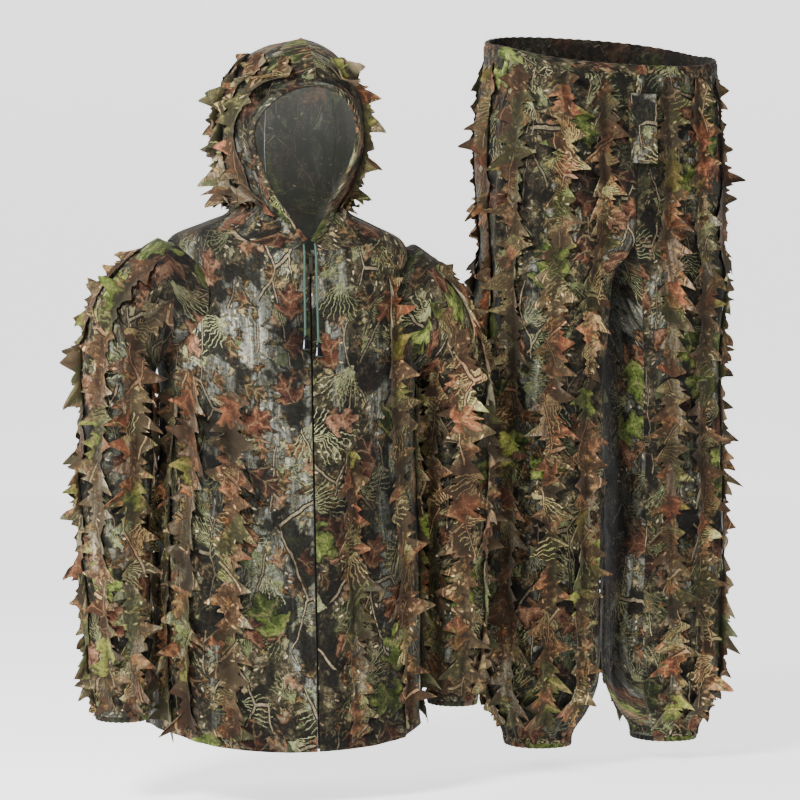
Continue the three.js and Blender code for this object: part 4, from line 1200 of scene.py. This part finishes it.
leg_z = np.concatenate([np.linspace(ANKLE_Z + 8, -690, 30)[:-1],
                        np.linspace(-690, SPLIT_Z, 94)[:-1],
                        np.linspace(SPLIT_Z, CROTCH_Z, 45)[:-1]])
split_row = int(np.argmin(np.abs(leg_z - SPLIT_Z)))
top_share = np.linspace(0, 1, 62)
outer_cols = QUARTER[0] + QUARTER[1]
all_cols = sum(QUARTER)
column_turn = np.concatenate([np.linspace(0, 0.5, outer_cols, endpoint=False),
                              np.linspace(0.5, 1, all_cols - outer_cols, endpoint=False)])
hip_angle = np.where(column_turn < 0.5, column_turn * FULL_TURN, (1 - column_turn) * FULL_TURN)
for name, side in (("right", -1), ("left", 1)):
    rows = [np.concatenate([trouser_row(z), np.full((all_cols, 1), z)], axis=1) for z in leg_z]
    heights = CROTCH_Z + (waist_top(hip_angle) - 16 - CROTCH_Z) * top_share[:, None]
    for row_heights in heights:
        low_z, high_z = row_heights.min(), row_heights.max()
        levels = [trouser_row(z) for z in np.linspace(low_z, high_z + 1e-6, 5)]
        at = (row_heights - low_z) / (high_z - low_z + 1e-6) * 4
        k = np.clip(at.astype(int), 0, 3)
        part = (at - k)[:, None]
        table = np.stack(levels)
        cols = np.arange(all_cols)
        rows.append(np.concatenate([table[k, cols] * (1 - part) + table[k + 1, cols] * part,
                                    row_heights[:, None]], axis=1))
    grid = np.stack(rows) * (side, 1, 1)
    normal, _ = normals_of(grid, True)
    folds = trouser_folds(
        np.broadcast_to(column_turn, grid.shape[:2]), grid[..., 2], 40 + 10 * side)
    edge = np.minimum(column_turn, np.abs(0.5 - column_turn))
    seam_fade = np.where(grid[..., 2] > -40, ease(edge, 0.0, 0.05), 1.0)
    inner_fade = np.where(column_turn > 0.5, 0.25 + 0.75 * ease(-grid[..., 2], 0, 160), 1.0)
    inner_fade = inner_fade * (1 - 0.6 * (column_turn > 0.5))
    grid = grid + normal * (folds * seam_fade * inner_fade)[..., None]
    grid[..., 0] = side * np.maximum(side * grid[..., 0], 0.5)
    grid = grid + TROUSERS_AT
    grids[f"leg_{name}"] = (grid, normal)
    uv = flat_map(grid, True) + (4300.0 + 900.0 * side, 1500.0)
    keep = np.ones((len(grid) - 1, all_cols), bool)
    keep[len(leg_z):, outer_cols:] = False
    shaded, _ = normals_of(grid, True)
    # The inside of the trousers gets the darker copy of the wrong side: painted shade.
    sides = [tricot_face, wrong_side_painted_shade]
    upper = cloth(f"trousers_{name}_cloth", grid[split_row:], uv[split_row:], closed=True,
                  keep=keep[split_row:],
                  shaded=shaded[split_row:], materials=sides)
    lower = cloth(f"shin_{name}_cloth", grid[:split_row + 1], uv[:split_row + 1], closed=True,
                  shaded=shaded[:split_row + 1], materials=sides)
    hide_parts(f"trousers_front_{name}", f"trousers_back_{name}", f"thigh_{name}")
    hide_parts(f"shin_{name}")
    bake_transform(upper)
    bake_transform(lower)
    print(
        upper.name, len(upper.data.polygons), "faces;", lower.name, len(lower.data.polygons),
        "faces")

# %% [markdown]
# ## Casings
# Round the face, the waist, the cuffs and the ankles the cloth is folded over and sewn to hold
# a cord or an elastic. On the real suit the elastic draws the casing into small pleats. Each
# casing is an oval section swept round the edge, with pleats as ripples along it and a sewn
# line pressed in near its edge.

# %% Casing builder and the casings
def casing(name, path, out, up, height, depth, pleats, pleat_mm, seed, wrap, stitch_at=0.32):
    """An oval casing swept along a path. out and up are its two axes at every point of the path."""
    turn = np.linspace(0, FULL_TURN, 28, endpoint=False)
    x, y = section(turn, height / 2, depth / 2, depth / 2, 3.0)
    share = np.arange(len(path)) / len(path)
    wave = np.cos(FULL_TURN * pleats * share[:, None] + 1.6
                  * hills(share[:, None] * pleats / 2, x / 9, seed, max(
        int(pleats // 2), 1)))
    ripple = 1 + pleat_mm / (depth / 2) * wave * (0.35 + 0.65 * np.abs(x / (height / 2)))
    groove = 1 - 0.30 * np.exp(-((x / height - stitch_at) / 0.03) ** 2) - 0.30 * np.exp(
        -((x / height + stitch_at) / 0.03) ** 2)
    grid = (path[:, None] + out[:, None] * (-y * ripple * groove)[..., None] + up[:, None]
            * (x * (
        1 + 0.03 * wave))[..., None])
    piece = closed_skin(name, grid, tricot_face, None, wrap)
    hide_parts(name.replace("_cloth", ""))
    return piece


edge_z = np.concatenate([np.linspace(THROAT_Z, BROW_Z, 60)[:-1], BROW_Z + BROW_RISE * np.sin(
    np.linspace(0, math.pi / 2, 60))])
edge_x = face_half_width(edge_z, 0.0)
edge_line = np.concatenate([np.stack([-edge_x, edge_z], 1),
                            np.stack([edge_x, edge_z], 1)[::-1][1:]])
edge_line = even(edge_line, 260)
face_path = np.stack(
    [edge_line[:, 0], front_at(edge_line[:, 0], edge_line[:, 1]) + 0.4, edge_line[:, 1]], 1)
tangent = np.gradient(face_path, axis=0)
tangent /= np.linalg.norm(tangent, axis=1, keepdims=True)
step = 1.0
dx = front_at(
    edge_line[:, 0] + step, edge_line[:, 1]) - front_at(edge_line[:, 0] - step, edge_line[:, 1])
dz = front_at(
    edge_line[:, 0], edge_line[:, 1] + step) - front_at(edge_line[:, 0], edge_line[:, 1] - step)
face_out = np.stack([dx / 2, -np.ones(len(dx)), dz / 2], 1)
face_out -= tangent * (face_out * tangent).sum(1, keepdims=True)
face_out /= np.linalg.norm(face_out, axis=1, keepdims=True)
face_up = np.cross(tangent, face_out)
piece = casing(
    "hood_edge_casing_cloth", face_path, face_out, face_up, CASING_MM, 6.6, 46, 0.5, 60, False)
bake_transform(piece)
cord_run = closed_skin(
    "hood_cord_run", sweep(face_path, round_profile, face_up, face_out), cord_braid)
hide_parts("drawcord")
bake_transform(cord_run)

neck_angles = np.linspace(0.16, FULL_TURN - 0.16, 400)
neck = even(body_point(neck_angles, neckline(neck_angles)), 240)
tangent = np.gradient(neck, axis=0)
tangent /= np.linalg.norm(tangent, axis=1, keepdims=True)
low_point, high_point = body_point(neck_angles,
                                   neckline(neck_angles) - 3), body_point(neck_angles,
                                                                                      neckline(neck_angles) + 3)
neck_up = even(high_point, 240) - even(low_point, 240)
neck_up -= tangent * (neck_up * tangent).sum(1, keepdims=True)
neck_up /= np.linalg.norm(neck_up, axis=1, keepdims=True)
neck_out = np.cross(tangent, neck_up)
neck_out *= np.sign((neck_out * (neck - neck.mean(axis=0)) * (1, 1, 0)).sum(1, keepdims=True))
turn = np.linspace(0, FULL_TURN, 16, endpoint=False)
tape_x, tape_y = section(turn, 6.0, 1.0, 1.0, 3.0)
tape_grid = (neck[:, None] - neck_out[:, None] * (2.6 + tape_y)[None, :, None]
             + neck_up[:, None] * tape_x[None, :, None])
piece = closed_skin("neck_seam_tape", tape_grid, tricot_back, "jacket")


def ring(points, out_from):
    """A closed path of evenly spaced points, with its outward and upward axes."""
    path = even(np.concatenate([points, points[:1]]), 240)[:-1]
    tangent = np.roll(path, -1, axis=0) - np.roll(path, 1, axis=0)
    tangent /= np.linalg.norm(tangent, axis=1, keepdims=True)
    out = np.cross(tangent, np.array([[0.0, 0.0, 1.0]]))
    out /= np.linalg.norm(out, axis=1, keepdims=True)
    out *= np.sign((out * (path - out_from)).sum(1, keepdims=True))
    up = np.cross(out, tangent)
    return path, out, up * np.sign(up[:, 2:])


WAISTBAND_LOW_Z = 262.0
angles = np.linspace(0, FULL_TURN, 600, endpoint=False)
z = waist_top(angles) - 19
waist_half, waist_front, waist_back = between(HIPS, np.array(WAISTBAND_LOW_Z))
x, y = section(angles, waist_half, waist_front, waist_back, HIP_SQUARENESS)
waist_path, waist_out, waist_up = ring(
    np.stack([x, y, z], 1) + TROUSERS_AT, TROUSERS_AT + (0, 0, 280))
piece = casing(
    "waistband_cloth", waist_path - waist_out * 3.8, waist_out, waist_up, 38, 11, 62, 1.6, 61,
    True, 0.36)
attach(piece, "trousers")
# The waistband's inner faces get the darker copy of the wrong side: painted shade.
piece.data.materials.append(wrong_side_painted_shade)
middle = np.mean([v.co[:] for v in piece.data.vertices], axis=0)
for face in piece.data.polygons:
    inward = (np.array(face.center) - middle) @ np.array(face.normal) < 0
    face.material_index = int(inward)
for name, side in (("right", -1), ("left", 1)):
    half, depth, back, middle = between(ARM, np.array(CUFF_Z + 8.5))
    cuff = np.stack([side * middle + half * np.sin(angles), back - depth * np.cos(angles),
                     np.full_like(angles, CUFF_Z + 8.5)], 1)
    path, out, up = ring(cuff, np.array([side * middle, back, CUFF_Z]))
    piece = casing(
        f"cuff_casing_{name}_cloth", path - out * 3.2, out, up, 17, 9, 26, 1.0, 62, True)
    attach(piece, f"sleeve_lower_{name}")
    row = leg_quarters(ANKLE_Z + 8.5)
    ankle = np.concatenate([even(line, 60)[:-1] for line in row]) * (side, 1)
    ankle = np.concatenate([ankle, np.full((len(ankle), 1), ANKLE_Z + 8.5)], 1) + TROUSERS_AT
    path, out, up = ring(ankle, ankle.mean(axis=0))
    piece = casing(
        f"ankle_casing_{name}_cloth", path - out * 3.2, out, up, 17, 9, 30, 1.1, 63, True)
    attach(piece, f"shin_{name}")
print("six casings made")

# %% [markdown]
# ## Fly flap and zip teeth
# The flap is a plain rectangle of cloth laid over the trousers' front opening and stitched all round. The zip is a nylon coil: from a distance its two rows of loops read as a fine comb
# that meets in the middle, so each row is drawn as a strip whose inner edge steps in and out
# once per loop.

# %% Fly flap
FLAP_X, FLAP_Z = (-16, 31), (108, 216)
flap_x, flap_z = np.meshgrid(np.linspace(*FLAP_X, 24), np.linspace(*FLAP_Z, 50))
hip_chart = between(HIPS, flap_z)
flap_share = np.clip(1 - (np.abs(flap_x) / hip_chart[..., 0]) ** HIP_SQUARENESS, 0, 1)
flap_y = -hip_chart[..., 1] * flap_share ** (1 / HIP_SQUARENESS)
edge_gap = np.minimum(
    np.minimum(flap_x - FLAP_X[0], FLAP_X[1] - flap_x),
    np.minimum(flap_z - FLAP_Z[0], FLAP_Z[1] - flap_z))
stitched = 1.4 * np.exp(-((edge_gap - 5) / 1.2) ** 2)
flap_y = flap_y - 5.5 + stitched - 1.6 * hills(
    flap_x / 22, flap_z / 30, 71) - 1.5 * ease(flap_x, 10, 31)
flap_grid = np.stack([flap_x, flap_y, flap_z], -1) + TROUSERS_AT
flap = cloth("fly_flap_cloth", flap_grid, flat_map(flap_grid, False) + (5200.0, 300.0),
             towards=np.broadcast_to(np.array([0.0, -1.0, 0.0]), flap_grid.shape))
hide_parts("fly_flap")
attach(flap, "trousers")
print("fly flap is 47 by 108 mm")

# %% Zip teeth
TOOTH_PITCH = 1.6
zip_run = np.arange(0.6, 706, TOOTH_PITCH / 5)
slope = math.atan(0.06)
for name, side in (("right", -1), ("left", 1)):
    phase = 0.0 if side > 0 else 0.5
    bite = 0.5 + 0.5 * np.tanh(2.5 * np.cos(FULL_TURN * (zip_run / TOOTH_PITCH + phase)))
    middle = np.stack([np.zeros(len(zip_run)),
                       -110 + 5.1 * math.cos(slope) - zip_run * math.sin(slope),
                       -45 - zip_run * math.cos(slope)], 1)
    inner, outer = 0.75 - 1.0 * bite, 3.1
    profile = [
        (0, 0.0, 0.9), (0, 0.5, 1.0), (1, 0.0, 0.6), (1, 0.0, -0.6), (0, 0.5, -1.0),
        (0, 0.0, -0.9)]
    columns = [np.stack([side * (inner + px if edge == 0 else np.full(len(zip_run), outer)),
                         middle[:, 1] + py, middle[:, 2]], 1) for edge, px, py in profile]
    teeth = closed_skin(f"zip_teeth_{name}", np.stack(columns, 1), zip_nylon, "jacket")
    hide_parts(f"zip_coil_{name}")
print("zip has", int(706 / TOOTH_PITCH), "teeth a side")

# %% [markdown]
# ## Leaf-cut ribbons
# Each ribbon is a long strip of the printed cloth. Both edges are cut into pointed leaf lobes,
# and one seam down the middle holds it, so each wing springs off the garment, curls and droops.
# Cloth simulation could drop the wings, but its result changes with every edit of the strip.
# Here the strip is drawn flat as a row of random lobes, laid on the garment's own grid, and
# lifted more the further it is from the seam. Each lobe leans, rises and curls by its own
# random amount.

# %% Ribbon builder
RIBBON_CLOTH_MM = 0.7
WING_COLUMNS = 7
STEP_MM = 2.3


def leaf_outline(run, rng, longest):
    """Widths in mm of one wing at distances run along the ribbon: big pointed lobes with small ones between."""
    width = np.full(len(run), 9.0)
    lean, lift = np.zeros(len(run)), np.zeros(len(run))
    weight = np.full(len(run), 1e-6)
    at = run[0] + rng.uniform(-4, 14)
    while at < run[-1] + 8:
        size = rng.uniform(0.50, 1.0)
        reach, half = longest * size, rng.uniform(14, 25)
        tilt, rise = rng.uniform(-0.60, 0.25), rng.uniform(0.0, 1.0) ** 1.5
        for place, share, spread in ((0, 1.0, 1.0), (-0.86, 0.55, 0.50), (0.86, 0.60, 0.52)):
            jitter = rng.uniform(-0.12, 0.12)
            far = np.abs(run - at - (place + jitter) * half) / (half * spread)
            lobe = reach * share * np.clip(1 - far, 0, None) ** 1.1
            width = np.maximum(width, lobe)
        near = np.exp(-((run - at) / (half * 0.9)) ** 2)
        lean, lift, weight = lean + near * tilt, lift + near * rise, weight + near
        at += rng.uniform(28, 52)
    ends = ease(run, run[0] - 4, run[0] + 14) * ease(-run, -run[-1] - 4, -run[-1] + 14)
    return width * (0.25 + 0.75 * ends), lean / weight, lift / weight


def surface_at(grid, normal, closed, row, col):
    """Points and normals between the points of a grid, carried on past its sides."""
    rows, cols = grid.shape[:2]
    row = np.clip(row, 0, rows - 1.001)
    over = np.zeros_like(col)
    if not closed:
        inside = np.clip(col, 0, cols - 1.001)
        over, col = col - inside, inside
    i, j = np.floor(row).astype(int), np.floor(col).astype(int)
    u, v = (row - i)[..., None], (col - j)[..., None]
    j0, j1 = (j % cols, (j + 1) % cols) if closed else (j, np.minimum(j + 1, cols - 1))
    mixed = []
    for field in (grid, normal):
        mixed.append((field[i, j0] * (1 - u) + field[i + 1, j0] * u) * (1 - v)
                     + (field[i, j1] * (1 - u) + field[i + 1, j1] * u) * v)
    point = mixed[0] + over[..., None] * (grid[i, j1] - grid[i, j0])
    return point, mixed[1] / np.maximum(np.linalg.norm(mixed[1], axis=-1, keepdims=True), 1e-9)


def ribbon(
        name, area, closed, col, z_low, z_high, seed, longest=48.0, spring=24.0, wander=3.0):
    """One leaf-cut ribbon sewn to a garment's grid up a column, between two heights."""
    grid, normal = grids[area][:2]
    rng = np.random.default_rng(seed)
    column = np.array([surface_at(grid, normal, closed, np.array(r, float),
                                  np.array(float(col)))[0]
                       for r in range(len(grid))])
    top = int(np.argmax(column[:, 2])) + 1
    first, last = np.interp([z_low, z_high], column[:top, 2], np.arange(top))
    fine_rows = np.linspace(first, last, 400)
    line = surface_at(grid, normal, closed, fine_rows, np.full(400, float(col)))[0]
    run_fine = np.concatenate([[0], np.cumsum(np.linalg.norm(np.diff(line, axis=0), axis=1))])
    length = run_fine[-1]
    count = max(int(length / STEP_MM), 12)
    run = np.linspace(0, length, count)
    row = np.interp(run, run_fine, fine_rows)
    ahead = surface_at(grid, normal, closed, row, np.full(count, col + 1.0))[0]
    here = surface_at(grid, normal, closed, row, np.full(count, float(col)))[0]
    col_step = np.linalg.norm(ahead - here, axis=1)
    row_step = length / max(last - first, 1e-6)
    share = np.linspace(0, 1, WING_COLUMNS + 1)
    wings, flats, reaches, ups = [], [], [], []
    for sign in (-1, 1):
        width, lean, lift = leaf_outline(run, rng, longest)
        out = width[:, None] * share[None, :]
        slide = lean[:, None] * out * share[None, :] - 0.06 * out
        sway = wander * hills(run / 120, np.zeros(count), seed + 7)
        at_row = row[:, None] + slide / row_step
        stand = spring * (0.30 + 1.35 * lift)
        high = 0.9 + stand[:, None] * (out / 38.0) ** 1.25
        high += 2.6 * hills(
            run[:, None] / 17, out / 15 + 9.1 * sign, seed + 11) * (out / 25).clip(0, 1)
        curl = rng.uniform(-0.25, 0.55)
        tip = share[None, :] ** 3 * (width[:, None] > 22)
        drawn = 1 - 0.20 * (stand[:, None] / 22) * share[None, :]
        at_col = col + (sign * out * drawn + sway[:, None]) / col_step[:, None]
        point, up = surface_at(grid, normal, closed, at_row, at_col)
        point = point + up * (high + 5.0 * curl * tip)[..., None]
        point[..., 2] -= 0.10 * out * (high / 18.0)
        wings.append(point)
        ups.append(up)
        flats.append(np.stack([sign * out, run[:, None] + slide], axis=-1))
        reaches.append(out / 38.0)
    grid_out = np.concatenate([wings[0][:, :0:-1], wings[1]], axis=1)
    flat = np.concatenate([flats[0][:, :0:-1], flats[1]], axis=1)
    reach = np.concatenate([reaches[0][:, :0:-1], reaches[1]], axis=1)
    towards = np.concatenate([ups[0][:, :0:-1], ups[1]], axis=1)
    flat = flat + rng.uniform(0, 4000, 2)
    piece = cloth(name, grid_out, flat, thick=RIBBON_CLOTH_MM,
                  materials=[ribbon_face, ribbon_back], reach=reach,
                  towards=towards)
    return piece


def column_at(area, x, z):
    """The column of a jacket or hood grid whose point at height z has this x."""
    grid = grids[area][0]
    row = int(np.argmin(np.abs(grid[:, grid.shape[1] // 2, 2] - z)))
    xs = grid[row, :, 0]
    order = np.argsort(xs)
    return float(np.interp(x, xs[order], np.arange(len(xs))[order]))


def body_x(degrees):
    """x on the jacket at a compass angle from the front."""
    return float(section(np.array(math.radians(degrees)), 190.0, 1.0, 1.0)[0])


JACKET_RIBBONS = [  # name, panel, degrees from the front, low, high, the CAD ribbon it stands for
    ("front_outer_right", "jacket_front_right", -59, -716, -215, "ribbon_front_outer_right"),
    ("front_inner_right", "jacket_front_right", -34, -735, -245, "ribbon_front_inner_right"),
    ("front_inner_left", "jacket_front_left", 14, -738, -330, "ribbon_front_inner_left"),
    ("front_outer_left", "jacket_front_left", 43, -730, -75, "ribbon_front_outer_left"),
    ("front_side_left", "jacket_front_left", 74, -712, -235, None),
    ("front_side_right", "jacket_front_right", -80, -712, -240, None),
    ("side_back_right", "jacket_back", -103, -712, -250, None),
    ("side_back_left", "jacket_back", 103, -712, -250, None),
    ("back_right", "jacket_back", -148, -725, -60, "ribbon_back_right"),
    ("back_left", "jacket_back", 148, -725, -60, "ribbon_back_left"),
    ("back_middle_right", "jacket_back", -169, -725, -30, None),
    ("back_middle_left", "jacket_back", 169, -725, -30, None),
    ("back_outer_right", "jacket_back", -124, -725, -225, None),
    ("back_outer_left", "jacket_back", 124, -725, -225, None),
]
for i, (name, area, degrees, low, high, stands_for) in enumerate(JACKET_RIBBONS):
    col = column_at(area, body_x(degrees), -400)
    piece = ribbon(f"leaf_ribbon_{name}", area, False, col, low, high, 100 + i)
    if stands_for:
        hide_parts(stands_for)
    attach(piece, "jacket")
SLEEVE_RIBBONS = [(0.50, -700, -40, 24), (0.63, -695, -60, 22), (0.765, -695, -90, 20),
                  (0.37, -695, -60, 20),
                  (0.235, -695, -100, 18), (0.90, -690, -215, 15), (0.10, -690, -215, 15)]
for name, side in (("right", -1), ("left", 1)):
    for i, (turn, low, high, spring) in enumerate(SLEEVE_RIBBONS):
        piece = ribbon(f"leaf_ribbon_sleeve_{name}_{i}", f"sleeve_{name}", True, turn * 100,
                       low, high,
                       140 + 10 * side + i, 44.0, float(spring))
        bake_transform(piece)
        if i == 0:
            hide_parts(f"ribbon_sleeve_upper_{name}", f"ribbon_sleeve_lower_{name}")
LEG_RIBBONS = [0.05, 0.109, 0.178, 0.25, 0.325, 0.405, 0.48]
for name, side in (("right", -1), ("left", 1)):
    for i, turn in enumerate(LEG_RIBBONS):
        area = f"leg_{name}"
        col = float(np.interp(turn, column_turn, np.arange(all_cols)))
        upper = ribbon(f"leaf_ribbon_thigh_{name}_{i}", area, True, col, SPLIT_Z + 1,
                       238 + 12 * i,
                       200 + 20 * side + i, 46.0, 20.0 if i < 5 else 10.0)
        lower = ribbon(f"leaf_ribbon_shin_{name}_{i}", area, True, col, -762, SPLIT_Z - 1,
                       260 + 20 * side + i, 46.0, 22.0 if i < 5 else 10.0)
        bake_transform(upper)
        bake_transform(lower)
        if i == 3:
            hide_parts(f"ribbon_thigh_side_{name}")
            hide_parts(f"ribbon_shin_side_{name}")
        if i == 1:
            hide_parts(f"ribbon_shin_front_{name}")
HOOD_RIBBONS = [
    (0.14, 12, 232), (0.31, 20, 240), (0.48, 24, 246), (0.66, 28, 240), (0.84, 30, 236)]
for name, side in (("right", -1), ("left", 1)):
    for i, (share, low, high) in enumerate(HOOD_RIBBONS):
        piece = ribbon(f"leaf_ribbon_hood_{name}_{i}", f"hood_{name}", False, share * HOOD_COLS,
                       low, high,
                       320 + 10 * side + i, 42.0, 26.0, 2.0)
        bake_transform(piece)
        if i == 2:
            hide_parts(f"ribbon_hood_{name}")
print("ribbons sewn on")

# %% [markdown]
# ## Hidden hardware and the floor
# What the cloth hides is still real: the zip's tapes, coils, slider and pull, the cord in the
# casing and the elastics. They keep their CAD shapes and get their own finishes. The floor is
# one sheet of white paper that curves up far behind the suit, so that no horizon line shows,
# and it glows a little, as paper does when lamps outside the picture light it.

# %% Finishes of the CAD pieces that stay
for node_name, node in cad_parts.items():
    finish = None
    if node_name.startswith("zip_tape"):
        finish = zip_tape_cloth
    elif node_name.startswith("zip_coil"):
        finish = zip_nylon
    elif node_name.startswith("zip_"):
        finish = zip_zinc
    elif "elastic" in node_name:
        finish = elastic_band
    if finish:
        node.data.materials.clear()
        node.data.materials.append(finish)
        print(node_name, "is", finish.name)

# %% Floor
FLOOR_Z = -0.83
FLAT_FRONT, FLAT_BACK, CURVE, TOP, HALF_WIDE = 14.0, 12.0, 5.0, 22.0, 26.0
sweep_line = [(-FLAT_FRONT, 0.0), (FLAT_BACK, 0.0)]
sweep_line += [(FLAT_BACK + CURVE * math.sin(a), CURVE - CURVE * math.cos(a))
               for a in np.linspace(0.05, math.pi / 2, 24)]
sweep_line += [(FLAT_BACK + CURVE, TOP)]
turn = Matrix.Rotation(CAMERA_TURN, 3, "Z")
corners, quads = [], []
for along, up in sweep_line:
    corners += [tuple(turn @ Vector((-HALF_WIDE, along, 0.0)) + Vector((0, 0, FLOOR_Z + up))),
                tuple(turn @ Vector((HALF_WIDE, along, 0.0)) + Vector((0, 0, FLOOR_Z + up)))]
for i in range(len(sweep_line) - 1):
    quads.append((2 * i, 2 * i + 1, 2 * i + 3, 2 * i + 2))
paper_mesh = bpy.data.meshes.new("studio_paper")
paper_mesh.from_pydata(corners, [], quads)
paper_mesh.polygons.foreach_set("use_smooth", [True] * len(quads))
paper = bpy.data.objects.new("studio_paper", paper_mesh)
bpy.context.scene.collection.objects.link(paper)
material, tree, shader = new_material("white_studio_paper")
shader.inputs["Base Color"].default_value = linear("#f6f6f6")
shader.inputs["Roughness"].default_value = 0.9
shader.inputs["Emission Color"].default_value = (1.0, 1.0, 1.0, 1.0)
shader.inputs["Emission Strength"].default_value = 1.5
paper_mesh.materials.append(material)
print("floor at", FLOOR_Z, "m")
